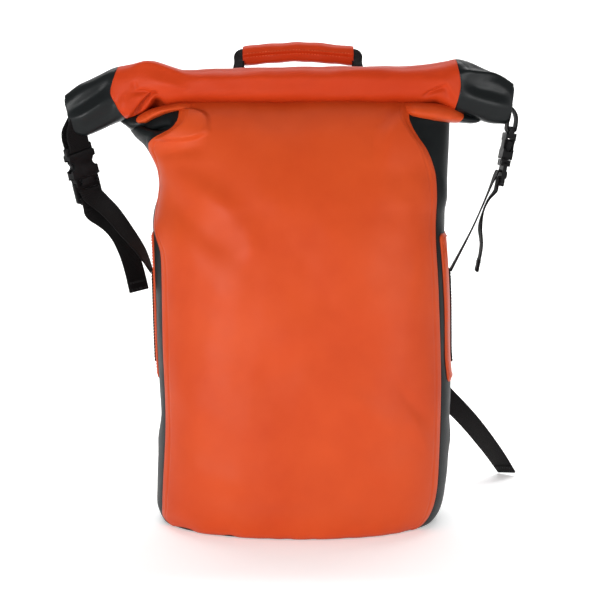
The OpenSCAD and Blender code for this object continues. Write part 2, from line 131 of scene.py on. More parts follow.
def crease(u, v, start, end, width, height):
    """Ridge (or hollow) that runs from start to end and fades at both ends."""
    a, b = np.array(start), np.array(end)
    d = b - a
    length = np.linalg.norm(d)
    d = d / length
    along = (u - a[0]) * d[0] + (v - a[1]) * d[1]
    off = -(u - a[0]) * d[1] + (v - a[1]) * d[0]
    fade = (smoothstep(along, -0.15 * length, 0.3 * length)
            * (1 - smoothstep(along, 0.7 * length, 1.15 * length)))
    return height * fade * np.exp(-(off / width) ** 2)


def creases(u, v, rows):
    """Sum of creases, each given as (start, end, width, height)."""
    return sum(crease(u, v, *row) for row in rows)


# ------------------------------------------------------------------ materials
def new_material(name):
    m = bpy.data.materials.new(name)
    m.use_nodes = True
    nt = m.node_tree
    return m, nt, nt.nodes["Principled BSDF"]


def node(nt, kind, **sockets):
    n = nt.nodes.new(kind)
    for k, v in sockets.items():
        key = int(k[1:]) if k[0] == "_" and k[1:].isdigit() else k.replace("_", " ")
        n.inputs[key].default_value = v
    return n


def ramp(nt, source, low, high, c_low, c_high):
    r = nt.nodes.new("ShaderNodeValToRGB")
    r.color_ramp.elements[0].position = low
    r.color_ramp.elements[0].color = (*c_low, 1)
    r.color_ramp.elements[1].position = high
    r.color_ramp.elements[1].color = (*c_high, 1)
    nt.links.new(source, r.inputs["Fac"])
    return r.outputs["Color"]


def spread(nt, source, low, high):
    m = nt.nodes.new("ShaderNodeMapRange")
    m.inputs["To Min"].default_value = low
    m.inputs["To Max"].default_value = high
    nt.links.new(source, m.inputs["Value"])
    return m.outputs["Result"]


def bump_chain(nt, bsdf, layers):
    """Stacks (height socket, strength, distance) bumps onto the shader's normal."""
    last = None
    for height, strength, distance in layers:
        b = node(nt, "ShaderNodeBump", Strength=strength, Distance=distance)
        nt.links.new(height, b.inputs["Height"])
        if last:
            nt.links.new(last, b.inputs["Normal"])
        last = b.outputs["Normal"]
    nt.links.new(last, bsdf.inputs["Normal"])


def woven(nt, vector, wide, high, depth=0.35):
    """Height of an over-and-under weave with threads wide x high metres."""
    brick = node(nt, "ShaderNodeTexBrick", Scale=1.0, Mortar_Size=min(wide, high) * depth,
                 Mortar_Smooth=1.0, Brick_Width=wide, Row_Height=high)
    brick.offset = 0.5
    brick.inputs["Color1"].default_value = (1, 1, 1, 1)
    brick.inputs["Color2"].default_value = (0.8, 0.8, 0.8, 1)
    brick.inputs["Mortar"].default_value = (0, 0, 0, 1)
    nt.links.new(vector, brick.inputs["Vector"])
    return brick.outputs["Color"]


def tarpaulin(name, deep, lit, rough, scrim, gloss):
    """PVC coated fabric: an even satin skin over a fine woven scrim."""
    m, nt, b = new_material(name)
    obj = nt.nodes.new("ShaderNodeTexCoord").outputs["Object"]
    uv = nt.nodes.new("ShaderNodeUVMap")
    uv.uv_map = "fabric"
    cloud = node(nt, "ShaderNodeTexNoise", Scale=9.0, Detail=4.0, Roughness=0.6)
    grain = node(nt, "ShaderNodeTexNoise", Scale=900.0, Detail=2.0, Roughness=0.6)
    dents = node(nt, "ShaderNodeTexNoise", Scale=55.0, Detail=3.0, Roughness=0.5)
    for n in (cloud, grain, dents):
        nt.links.new(obj, n.inputs["Vector"])
    nt.links.new(ramp(nt, cloud.outputs["Fac"], 0.3, 0.72, deep, lit), b.inputs["Base Color"])
    nt.links.new(spread(nt, dents.outputs["Fac"], rough - 0.07, rough + 0.07), b.inputs["Roughness"])
    b.inputs["Specular IOR Level"].default_value = gloss
    weave = woven(nt, uv.outputs["UV"], 0.0016, 0.0008)
    bump_chain(nt, b, [(weave, scrim, 0.0002), (grain.outputs["Fac"], 0.10, 0.0002),
                       (dents.outputs["Fac"], 0.10, 0.0015)])
    return m


def webbing_material(name, dark, light):
    """Woven polyester webbing: thick ribs across, lighter raised threads, painted shade in the gaps."""
    m, nt, b = new_material(name)
    uv = nt.nodes.new("ShaderNodeUVMap")
    uv.uv_map = "fabric"
    weave = woven(nt, uv.outputs["UV"], 0.0026, 0.0013, 0.3)
    fuzz = node(nt, "ShaderNodeTexNoise", Scale=700.0, Detail=3.0, Roughness=0.7)
    nt.links.new(uv.outputs["UV"], fuzz.inputs["Vector"])
    shade_and_fuzz = nt.nodes.new("ShaderNodeMath")
    shade_and_fuzz.operation = "MULTIPLY"
    nt.links.new(weave, shade_and_fuzz.inputs[0])
    nt.links.new(fuzz.outputs["Fac"], shade_and_fuzz.inputs[1])
    # colour: painted shade in the weave's gaps, lighter threads on top, times random fuzz
    nt.links.new(ramp(nt, shade_and_fuzz.outputs[0], 0.05, 0.6, dark, light), b.inputs["Base Color"])
    b.inputs["Roughness"].default_value = 0.72
    b.inputs["Specular IOR Level"].default_value = 0.12
    b.inputs["Sheen Weight"].default_value = 0.015
    b.inputs["Sheen Roughness"].default_value = 0.5
    bump_chain(nt, b, [(weave, 0.8, 0.0004), (fuzz.outputs["Fac"], 0.3, 0.0002)])
    return m


def moulded(name, dark, light, rough):
    """Injection-moulded plastic: faint orange-peel skin and handling scuffs."""
    m, nt, b = new_material(name)
    obj = nt.nodes.new("ShaderNodeTexCoord").outputs["Object"]
    skin_n = node(nt, "ShaderNodeTexNoise", Scale=1400.0, Detail=2.0, Roughness=0.6)
    scuff = node(nt, "ShaderNodeTexNoise", Scale=120.0, Detail=6.0, Roughness=0.75)
    for n in (skin_n, scuff):
        nt.links.new(obj, n.inputs["Vector"])
    nt.links.new(ramp(nt, scuff.outputs["Fac"], 0.45, 0.8, dark, light), b.inputs["Base Color"])
    nt.links.new(spread(nt, scuff.outputs["Fac"], rough - 0.08, rough + 0.12), b.inputs["Roughness"])
    b.inputs["Specular IOR Level"].default_value = 0.12
    bump_chain(nt, b, [(skin_n.outputs["Fac"], 0.25, 0.0001)])
    return m


def spacer_mesh(name, dark, light):
    """Padded air mesh: rows of open cells, darker in their hollows: foam below and painted shade."""
    m, nt, b = new_material(name)
    uv = nt.nodes.new("ShaderNodeUVMap")
    uv.uv_map = "fabric"
    cells = node(nt, "ShaderNodeTexVoronoi", Scale=420.0, Randomness=0.18)
    cells.feature = "DISTANCE_TO_EDGE"
    fuzz = node(nt, "ShaderNodeTexNoise", Scale=600.0, Detail=3.0)
    nt.links.new(uv.outputs["UV"], cells.inputs["Vector"])
    nt.links.new(uv.outputs["UV"], fuzz.inputs["Vector"])
    # each cell darker towards its hollow middle: the foam below, with painted shade in the hollow
    nt.links.new(ramp(nt, cells.outputs["Distance"], 0.08, 0.3, light, dark), b.inputs["Base Color"])
    b.inputs["Roughness"].default_value = 0.85
    b.inputs["Specular IOR Level"].default_value = 0.2
    b.inputs["Sheen Weight"].default_value = 0.25
    rim = spread(nt, cells.outputs["Distance"], 1.0, 0.0)
    bump_chain(nt, b, [(rim, 0.9, 0.0008), (fuzz.outputs["Fac"], 0.25, 0.0003)])
    return m


BLACK_TONES = (0.0045, 0.0055, 0.0060), (0.0080, 0.0098, 0.0102)
ORANGE = tarpaulin("orange_tarpaulin_finish", (0.46, 0.0465, 0.0075), (0.53, 0.064, 0.0115), 0.46, 0.10, 0.15)
ORANGE_TOP = tarpaulin("orange_tarpaulin_roll_finish", (0.42, 0.032, 0.0050), (0.47, 0.040, 0.0065),
                       0.46, 0.10, 0.12)
BLACK = tarpaulin("black_tarpaulin_finish", *BLACK_TONES, 0.32, 0.12, 0.18)
BLACK_SIDE = tarpaulin("black_tarpaulin_side_finish", *BLACK_TONES, 0.46, 0.12, 0.08)
WEBBING = webbing_material("webbing_finish", (0.0018, 0.0014, 0.0016), (0.0070, 0.0058, 0.0062))
ACETAL = moulded("acetal_finish", (0.0030, 0.0030, 0.0034), (0.008, 0.008, 0.0088), 0.50)
STIFF = moulded("stiffener_finish", (0.02, 0.02, 0.022), (0.05, 0.05, 0.052), 0.5)
MESH = spacer_mesh("mesh_finish", (0.004, 0.004, 0.0045), (0.035, 0.037, 0.04))
THREAD = webbing_material("black_thread_finish", (0.010, 0.010, 0.011), (0.05, 0.05, 0.052))
RED_THREAD = webbing_material("orange_thread_finish", (0.45, 0.06, 0.015), (0.7, 0.12, 0.04))


# ------------------------------------------------------------------- builders
def add_object(name, verts, faces, material, uvs):
    me = bpy.data.meshes.new(name)
    me.from_pydata([tuple(v) for v in verts], [], faces)
    me.update()
    layer = me.uv_layers.new(name="fabric")
    index = np.zeros(len(me.loops), int)
    me.loops.foreach_get("vertex_index", index)
    layer.data.foreach_set("uv", np.asarray(uvs, float)[index].ravel())
    me.materials.append(material)
    me.polygons.foreach_set("use_smooth", [True] * len(me.polygons))
    ob = bpy.data.objects.new(name, me)
    bpy.context.scene.collection.objects.link(ob)
    return ob


def grid_faces(rows, cols, wrap=False, start=0, flip=False):
    faces = []
    for i in range(rows - 1):
        for j in range(cols if wrap else cols - 1):
            k = (j + 1) % cols
            here, above = start + i * cols, start + (i + 1) * cols
            f = (here + j, here + k, above + k, above + j)
            faces.append(f[::-1] if flip else f)
    return faces


def tube_faces(rows, cols):
    """Faces of a hollow tube: its outside, its inside and the rims that join them."""
    half = rows * cols
    faces = grid_faces(rows, cols, wrap=True) + grid_faces(rows, cols, wrap=True, start=half, flip=True)
    for i in (0, rows - 1):
        for j in range(cols):
            k = (j + 1) % cols
            faces.append((i * cols + j, i * cols + k, half + i * cols + k, half + i * cols + j))
    return faces


def grid_normals(p, wrap=False):
    du = np.gradient(p, axis=0)
    if wrap:
        dv = np.roll(p, -1, axis=1) - np.roll(p, 1, axis=1)
    else:
        dv = np.gradient(p, axis=1)
    return unit(np.cross(dv, du))


def sheet_object(name, p, material, thick=0.0012, flip=False):
    """A thick sheet over a grid of points: its outside, its inside and its edges."""
    rows, cols = p.shape[:2]
    n = grid_normals(p) * (-1 if flip else 1)
    inner = p - n * thick
    verts = np.concatenate([p.reshape(-1, 3), inner.reshape(-1, 3)])
    half = rows * cols
    faces = grid_faces(rows, cols, flip=flip) + grid_faces(rows, cols, start=half, flip=not flip)
    ring = (list(range(cols)) + [i * cols + cols - 1 for i in range(1, rows)]
            + [(rows - 1) * cols + j for j in range(cols - 2, -1, -1)]
            + [i * cols for i in range(rows - 2, 0, -1)])
    for a, b in zip(ring, ring[1:] + ring[:1]):
        f = (a, a + half, b + half, b)
        faces.append(f[::-1] if flip else f)
    u, v = run_length(p, 1), run_length(p, 0)
    flat = np.stack([u - u[:, cols // 2:cols // 2 + 1], v], axis=2).reshape(-1, 2)
    return add_object(name, verts, faces, material, np.concatenate([flat, flat]))


def path_frames(points, across, steps):
    p = spline(points, steps)
    a = spline(across, steps)
    t = np.zeros_like(p)
    t[1:-1] = p[2:] - p[:-2]
    t[0], t[-1] = p[1] - p[0], p[-1] - p[-2]
    t = unit(t)
    w = unit(a - (a * t).sum(axis=1, keepdims=True) * t)
    return p, t, w, np.cross(w, t)


def flat_outline(width, thick):
    """Outline of webbing: flat faces and rounded edges."""
    r = thick / 2
    xs = np.linspace(-1, 1, 9) * (width / 2 - r)
    pts = [(x, -r) for x in xs]
    pts += [(width / 2 - r + r * math.cos(a), r * math.sin(a)) for a in np.radians([-45, 0, 45])]
    pts += [(x, r) for x in xs[::-1]]
    pts += [(-(width / 2 - r) - r * math.cos(a), r * math.sin(a)) for a in np.radians([45, 0, -45])]
    return np.array(pts)


def ribbon(name, points, across, width=WEB_W, thick=WEB_T, steps=12, lift=0.0, outline=None, scale=None):
    """Webbing along a path. across gives its width direction at each point."""
    p, _, w, up = path_frames(points, across, steps)
    o = flat_outline(width, thick) if outline is None else outline
    n, m = len(p), len(o)
    s = np.ones(n) if scale is None else spline([[v] for v in scale], steps)[:, 0]
    verts = (p[:, None] + (o[None, :, 0] * s[:, None])[..., None] * w[:, None]
             + (o[:, 1] + lift)[None, :, None] * up[:, None])
    uv = np.stack([np.broadcast_to(o[None, :, 0], (n, m)), np.broadcast_to(run_length(p)[:, None], (n, m))],
                  axis=2)
    faces = grid_faces(n, m, wrap=True, flip=True)
    faces += [tuple(range(m)), tuple(range((n - 1) * m, n * m))[::-1]]
    return add_object(name, verts.reshape(-1, 3), faces, WEBBING, uv.reshape(-1, 2))


def tidy_normals(ob):
    bm = bmesh.new()
    bm.from_mesh(ob.data)
    bmesh.ops.recalc_face_normals(bm, faces=bm.faces)
    bm.to_mesh(ob.data)
    bm.free()


def join_mesh(name, parts, material):
    """One mesh from (verts, faces) parts."""
    verts, faces, at = [], [], 0
    for v, f in parts:
        verts.append(np.asarray(v))
        faces += [tuple(i + at for i in q) for q in f]
        at += len(v)
    allv = np.concatenate(verts)
    return add_object(name, allv, faces, material, allv[:, :2])


STITCH_R = 0.00035
STITCH_PITCH = 0.0032
STITCH_GAP = 0.28       # part of the pitch that is bare between two stitches


def stitch(a, b, up, radius=STITCH_R):
    """One thread stitch from a to b: a thin rounded bar that sinks at both ends."""
    d = b - a
    length = np.linalg.norm(d)
    d = d / max(length, 1e-9)
    side = unit(np.cross(up, d))
    rings = []
    for s, r, h in ((0.0, 0.4, -0.4), (0.2, 1.0, 0.35), (0.8, 1.0, 0.35), (1.0, 0.4, -0.4)):
        c = a + d * length * s + up * radius * h
        rings += [c + (side * math.cos(q) + up * math.sin(q)) * radius * r
                  for q in np.radians([0, 60, 120, 180, 240, 300])]
    faces = grid_faces(4, 6, wrap=True) + [tuple(range(5, -1, -1)), tuple(range(18, 24))]
    return np.array(rings), faces


def stitch_line(places, ups, radius=STITCH_R):
    """Stitches spaced along a polyline."""
    p = np.array(places, float)
    u = np.array(ups, float)
    length = run_length(p)
    count = max(1, int(round(length[-1] / STITCH_PITCH)))
    out = []
    for k in range(count):
        s0 = length[-1] * (k + STITCH_GAP / 2) / count
        s1 = length[-1] * (k + 1 - STITCH_GAP / 2) / count
        a = np.array([np.interp(s0, length, p[:, i]) for i in range(3)])
        b = np.array([np.interp(s1, length, p[:, i]) for i in range(3)])
        up = unit(np.array([np.interp(s0, length, u[:, i]) for i in range(3)]))
        out.append(stitch(a, b, up, radius))
    return out


def ribbon_stitches(points, across, lines, steps=12, lift=WEB_T / 2, sides=(1,)):
    """Stitching on webbing. A line is two (across, along) places, in metres."""
    p, _, w, up = path_frames(points, across, steps)
    length = run_length(p)
    out = []
    for (u0, v0), (u1, v1) in lines:
        k = np.linspace(0, 1, 12)
        us, vs = u0 + (u1 - u0) * k, v0 + (v1 - v0) * k
        at = [np.stack([np.interp(vs, length, q[:, i]) for i in range(3)], axis=1) for q in (p, w, up)]
        for side in sides:
            out += stitch_line(at[0] + us[:, None] * at[1] + at[2] * side * lift, at[2] * side)
    return out


def box_x(half, v0, v1):
    """The lines of a box stitch with a cross in it."""
    a, b, c, d = (-half, v0), (half, v0), (half, v1), (-half, v1)
    return [(a, b), (b, c), (c, d), (d, a), (a, c), (b, d)]


def bar_tack(half, v, rows):
    """Close rows of stitching across webbing, from v metres along it."""
    step = 0.0011
    return [((-half, v + k * step), (half, v + k * step)) for k in range(rows)]


def from_cad(name, cad, material, bevel=0.0006, segments=2):
    """A moulded piece: the CAD solid with its hard edges rounded off."""
    ob = bpy.data.objects.new(name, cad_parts[cad].data.copy())
    bpy.context.scene.collection.objects.link(ob)
    bm = bmesh.new()
    bm.from_mesh(ob.data)
    bmesh.ops.remove_doubles(bm, verts=bm.verts, dist=1e-6)
    bmesh.ops.dissolve_limit(bm, angle_limit=math.radians(1.5), verts=bm.verts, edges=bm.edges)
    bm.to_mesh(ob.data)
    bm.free()
    ob.data.materials.clear()
    ob.data.materials.append(material)
    m = ob.modifiers.new("edges", "BEVEL")
    m.width = bevel
    m.segments = segments
    m.limit_method = "ANGLE"
    m.angle_limit = math.radians(32)
    m.use_clamp_overlap = True
    m.harden_normals = True
    ob.data.polygons.foreach_set("use_smooth", [True] * len(ob.data.polygons))
    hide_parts(cad)
    return ob


def place(ob, body, slot, *cad):
    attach(ob, body)
    if cad:
        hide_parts(*cad)
    return ob


# ------------------------------------------------------------- camera, lights
cam_data = bpy.data.cameras.new("camera")
cam_data.lens = 86.5
cam_data.sensor_width = 36.0
camera = bpy.data.objects.new("camera", cam_data)
camera.location = (-0.003, -1.5, 0.41)
camera.rotation_euler = (math.radians(90 - 6.8), 0, 0)
bpy.context.scene.collection.objects.link(camera)
bpy.context.scene.camera = camera

bpy.context.scene.view_settings.view_transform = "Standard"
world = bpy.data.worlds.new("studio")
world.use_nodes = True
world.node_tree.nodes["Background"].inputs["Color"].default_value = (1.0, 1.0, 1.0, 1)
world.node_tree.nodes["Background"].inputs["Strength"].default_value = 0.30
bpy.context.scene.world = world


def area_light(name, at, target, size, power):
    data = bpy.data.lights.new(name, "AREA")
    data.shape = "RECTANGLE"
    data.size, data.size_y = size
    data.energy = power
    ob = bpy.data.objects.new(name, data)
    ob.location = at
    ob.rotation_euler = (Vector(target) - Vector(at)).to_track_quat("-Z", "Y").to_euler()
    bpy.context.scene.collection.objects.link(ob)
    return ob


area_light("key", (-1.25, -2.1, 0.14), (0, 0, 0.20), (1.0, 1.0), 56)
area_light("fill", (1.5, -1.9, 0.16), (0, 0, 0.22), (0.8, 1.0), 26)
area_light("top", (0.0, 0.55, 2.1), (0, -.05, 0.3), (2.4, 1.4), 12)
area_light("edge_left", (-1.6, 0.1, 0.5), (0, 0, 0.2), (0.4, 1.2), 1.5)
area_light("edge_right", (1.6, 0.2, 0.5), (0, 0, 0.2), (0.4, 1.2), 1.5)
area_light("backdrop", (0.0, 1.0, 2.6), (0, 2.6, 0.6), (3.0, 1.0), 95)

m, nt, b = new_material("floor_finish")
speck = node(nt, "ShaderNodeTexNoise", Scale=60.0, Detail=3.0)
nt.links.new(nt.nodes.new("ShaderNodeTexCoord").outputs["Object"], speck.inputs["Vector"])
nt.links.new(ramp(nt, speck.outputs["Fac"], 0.3, 0.7, (0.93,) * 3, (0.95,) * 3), b.inputs["Base Color"])
b.inputs["Roughness"].default_value = 0.9
b.inputs["Specular IOR Level"].default_value = 0.1
b.inputs["Emission Color"].default_value = (1, 1, 1, 1)
b.inputs["Emission Strength"].default_value = 0.34
sweep = []
for k in range(60):
    s = k / 59
    y = -4.0 + 7.0 * min(s / 0.6, 1.0)
    bend = max(0.0, s - 0.6) / 0.4
    sweep.append((y + 1.2 * math.sin(bend * math.pi / 2), 3.2 * (1 - math.cos(bend * math.pi / 2))))
rows = np.array([[(x, y, z - 0.0002) for x in (-6.0, -2.0, 2.0, 6.0)] for y, z in sweep])
add_object("floor", rows.reshape(-1, 3), grid_faces(60, 4), m, rows.reshape(-1, 3)[:, :2])

# ---------------------------------------------------------- shape of the body
# Half widths to each side, half depths to the front and back, as parts of the body's own
right_w = curve([(0, .890), (.006, .915), (.015, .940), (.035, .965), (.06, .980), (.15, .990), (.18, .974),
                 (.23, .968), (.29, .946), (.309, .936), (.323, .931), (.340, .949), (.366, .9615),
                 (.393, .968), (.416, .970), (.426, .93), (NECK, .88),
                 (NECK + .008, .85)])
left_w = curve([(0, .950), (.006, .968), (.020, .990), (.05, .985), (.120, .955), (.18, .972), (.274, .986),
                (.306, .993), (.323, .980), (.343, .958), (.353, .952), (.365, .962), (.378, .997),
                (.391, 1.048),
                (.402, 1.125), (.409, 1.165), (.417, 1.13), (.426, 1.0), (NECK, .90), (NECK + .008, .86)])
front_d = curve([(0, .905), (.006, .955), (.02, .985), (.07, 1.0), (.17, 1.01), (.26, .985), (.33, .91),
                 (.375, .79), (.400, .685), (.418, .56), (.428, .465), (NECK, .39), (NECK + .008, .22)])
back_d = curve([(0, .92), (.014, .965), (.06, .985), (.16, .995), (.26, .975), (.33, .895), (.375, .765),
                (.398, .645), (.413, .48), (.426, .27), (NECK, .16), (NECK + .008, .12)])
mid_y = curve([(0, 0), (.30, 0.0), (.375, .004), (.398, .005), (NECK, .006)])
roundness = curve([(0, 2.15), (.012, 2.3), (.03, 2.5), (.07, 2.7), (.16, 2.75), (.26, 2.7), (.33, 2.6),
                   (.375, 2.5), (.398, 2.4), (.412, 2.6), (.424, 3.2), (NECK, 3.6)])
# Where the front panel's side seams run, as x
right_seam = curve([(0, .116), (.006, .124), (.015, .130), (.03, .135), (.05, .1375), (.15, .1395),
                    (.25, .136),
                    (.308, .133), (.3415, .1345), (.361, .1335), (.375, .130), (.389, .124), (.402, .115),
                    (.4137, .1085), (.4202, .1065), (NECK, .108)])
left_seam = curve([(0, -.137), (.010, -.146), (.025, -.145), (.12, -.140), (.20, -.142), (.27, -.1425),
                   (.285, -.1435), (.300, -.149), (.312, -.1525), (.326, -.1515), (.343, -.149),
                   (.353, -.148), (.366, -.149), (.379, -.1535),
                   (.389, -.1575), (.394, -.157), (.400, -.151), (.405, -.1415), (.411, -.131),
                   (.4202, -.1255),
                   (.4262, -.125), (NECK, -.130)])


def skin(z, turn, off=0.0):
    """Point on the body at a height and a turn angle (0 = +X, 90 = back), moved out by off."""
    z, turn = np.broadcast_arrays(np.asarray(z, float), np.asarray(turn, float))
    c, s = np.cos(turn), np.sin(turn)
    r = squircle(c, s, roundness(z))
    side = 0.5 + 0.5 * np.tanh(c * 6)
    deep = 0.5 + 0.5 * np.tanh(s * 6)
    w = HALF_W * (right_w(z) * side + left_w(z) * (1 - side)) + off
    d = HALF_D * (back_d(z) * deep + front_d(z) * (1 - deep)) + off
    return np.stack([w * c * r, mid_y(z) + d * s * r, z], axis=-1)


TURNS = np.radians(np.linspace(-180, 180, 1441))


def turn_at(z, value, axis, lo, hi):
    """Turn angle between lo and hi where the body's x (axis 0) or y (axis 1) has a value."""
    pick = TURNS[(TURNS >= math.radians(lo) - 1e-9) & (TURNS <= math.radians(hi) + 1e-9)]
    out = []
    z = np.atleast_1d(z)
    for q, v in zip(z, np.broadcast_to(value, z.shape)):
        xs = skin(np.full(len(pick), q), pick)[:, axis]
        k = np.argsort(xs)
        out.append(np.interp(v, xs[k], pick[k]))
    return np.array(out)


BACK_SEAM = math.radians(34)
# Ring heights, closer together at the foot and the shoulder
z_steps = np.concatenate([np.linspace(0.0006, 0.03, 18)[:-1], np.linspace(0.03, 0.33, 70)[:-1],
                          np.linspace(0.33, NECK, 76)[:-1], np.linspace(NECK, NECK + .008, 8)])
seam_l = turn_at(z_steps, left_seam(z_steps), 0, -180, -90)
seam_r = turn_at(z_steps, right_seam(z_steps), 0, -90, 0)


def front_relief(x, y, z):
    """Folds and slack of the front panel, in metres, out of the cloth."""
    h = 0.0008 * waves(x, z, 7, 0.13, 3) * smoothstep(z, 0.0, 0.05)
    h += 0.00018 * waves(x, z, 9, 0.040, 4)
    # broad soft slants that fall from the left shoulder
    h += creases(x, z, [
        ((-.140, .372), (-.060, .322), .014, .0032),
        ((-.145, .345), (-.070, .290), .013, -.0026),
        ((-.060, .322), (-.045, .285), .014, .0022),
        ((-.140, .315), (-.060, .235), .018, .0018),
        ((.100, .245), (-.030, .195), .018, .0016),
        ((.060, .215), (-.060, .150), .020, -.0014),
        ((-.060, .380), (-.020, .320), .020, .0016),
    ])
    # the lump of folded cloth beside the left pocket
    q = (np.abs((x + .130) / .0355) ** 3 + np.abs((z - .4130) / .0150) ** 3) ** (1 / 3)
    h += .0052 * smoothstep(-q, -1.10, -.88)
    h += crease(x, z, (-.150, .386), (-.100, .391), .0080, -.0022)
    # the bulge under the right fold, inside an arc that opens downward to the right
    h += .0058 * smoothstep(-np.hypot(x - .122, z - .387), -.055, -.036) * smoothstep(z, .360, .405)
    h += crease(x, z, (.120, .372), (.100, .300), .012, .0012)
    # puckers along the foot, and slack over it
    h += .0009 * waves(x, .01 * z, 16, .030, 61) * (1 - smoothstep(z, .002, .026))
    h += creases(x, z, [
        ((.090, .160), (.126, .118), .0065, -.0014),
        ((.104, .128), (.130, .082), .0070, .0014),
        ((.040, .150), (.105, .105), .012, .0014),
        ((-.13, .075), (-.05, .055), .015, .0012),
        ((.13, .085), (.05, .06), .016, .0012),
        ((-.06, .028), (.05, .024), .010, .0010),
        ((-.135, .18), (-.10, .12), .012, .0012),
    ])
    return h


def panel(name, a, b, cols, material, relief, lap=0.0):
    """Part of the body's skin from turn a to turn b (arrays over height), with relief(x, y, z)."""
    turn = a[:, None] + (b - a)[:, None] * np.linspace(0, 1, cols)[None]
    p = skin(np.broadcast_to(z_steps[:, None], turn.shape), turn)
    h = relief(p[..., 0], p[..., 1], p[..., 2])
    # the two edges of the panel, as a distance in metres along the row
    run = run_length(p, 1)
    edge = np.minimum(run, run[:, -1:] - run)
    h = h * smoothstep(edge, 0.0, 0.012)
    if lap:
        h = h + lap * (1 - smoothstep(edge, 0.008,
                                      0.0095)) - 0.0004 * np.exp(-((edge - 0.0095) / 0.0012) ** 2)
    p = p + grid_normals(p) * h[..., None]
    p[..., 2] = np.maximum(p[..., 2], 0.0004)
    return sheet_object(name, p, material)


front = panel("front_panel_skin", seam_l, seam_r, 210, ORANGE, front_relief, lap=0.0003)
place(front, "root", "orange_tarpaulin", "front_panel")


def side_relief(x, y, z):
    h = 0.0003 * waves(y, z, 6, 0.10, 11) * smoothstep(z, 0.0, 0.04)
    h += creases(y, z, [
        ((-.05, .37), (.02, .29), .012, .0010),
        ((.05, .38), (-.01, .31), .012, .0008),
        ((-.04, .10), (.045, .06), .012, .0016),
        ((.03, .16), (-.03, .11), .010, -.0012),
    ])
    return h


def left_relief(x, y, z):
    """The left side, tucked in under the fold of the mouth to leave a pocket."""
    h = side_relief(x, y, z)
    h = h - .022 * np.exp(-((z - .4145) / .0085) ** 2) * np.exp(-((y + .022) / .024) ** 2)
    return h - .004 * np.exp(-((z - .396) / .006) ** 2) * smoothstep(-y, -.01, .03)


full = np.ones(len(z_steps))
right = panel("side_panel_right_skin", seam_r, full * BACK_SEAM, 64, BLACK_SIDE, side_relief)
place(right, "root", "black_tarpaulin", "side_panel_right")
left = panel("side_panel_left_skin", full * (math.pi - BACK_SEAM), seam_l + 2 * math.pi, 80, BLACK_SIDE,
             left_relief)
place(left, "root", "black_tarpaulin", "side_panel_left")


def back_relief(x, y, z):
    h = 0.0007 * waves(x, z, 6, 0.10, 21) * smoothstep(z, 0.0, 0.05)
    h += creases(x, z, [
        ((-.10, .43), (-.08, .37), .010, .0020),
        ((.10, .43), (.085, .37), .010, .0020),
        ((.0, .432), (.005, .40), .012, .0012),
    ])
    return h


back = panel("back_panel_skin", full * BACK_SEAM, full * (math.pi - BACK_SEAM), 130, ORANGE,
             back_relief, lap=0.0007)
place(back, "root", "orange_tarpaulin", "back_panel")

# Base: a flat welded floor with its rounded rim
turns = np.radians(np.linspace(-180, 180, 145)[:-1])
foot_ring = skin(np.full(len(turns), .0005), turns)
rings = np.array([foot_ring * np.array([scale, scale, 0]) + np.array([0, 0, z])
                  for scale, z in ((0.0, .0004), (0.5, .0004), (0.97, .0002), (0.995, .0006), (1.002, .0018),
                                   (1.003, .0034), (0.99, .0040))])
base = add_object("base_panel_skin", rings.reshape(-1, 3),
                  grid_faces(len(rings), len(turns), wrap=True, flip=True), BLACK,
                  rings.reshape(-1, 3)[:, :2])
tidy_normals(base)
place(base, "root", "black_tarpaulin", "base_panel")

# --------------------------------------------------------------- rolled mouth
# Middle y, height above the crease, half depth, half height and lean, along x
ROLL_X = (-.2395, -.222, -.191, -.176, -.157, -.118, -.06, 0, .06, .118, .143, .159, .188, .2137)
roll_y = curve(list(zip(ROLL_X, (-.014, -.013, -.009, -.007, -.006, -.006, -.006, -.006, -.006, -.006,
                                 -.006, -.006, -.005, -.003))))
roll_up = curve(list(zip(ROLL_X, (-.0097, -.0040, .0100, .0145, .0195, .0180, .0190, .0195, .0197, .0200,
                                  .0203, .0188, .0095, .0008))))
roll_d = curve(list(zip(ROLL_X, (.009, .013, .018, .0215, .026, .029, .030, .030, .030, .030, .0285, .026,
                                 .0185, .012))))
roll_h = curve(list(zip(ROLL_X,
                        (.0195, .0266, .0278, .027, .0265, .0177, .0187, .0194, .0197, .0203, .0237, .0275,
                                 .0270, .0208))))
roll_lean = curve(list(zip(ROLL_X, (-.0036, -.002, -.001, 0, 0, 0, 0, 0, 0, 0, 0, 0, .0012, .0022))))
AROUND = 96
ROLL_POWER = 2.8        # how square the roll's section is


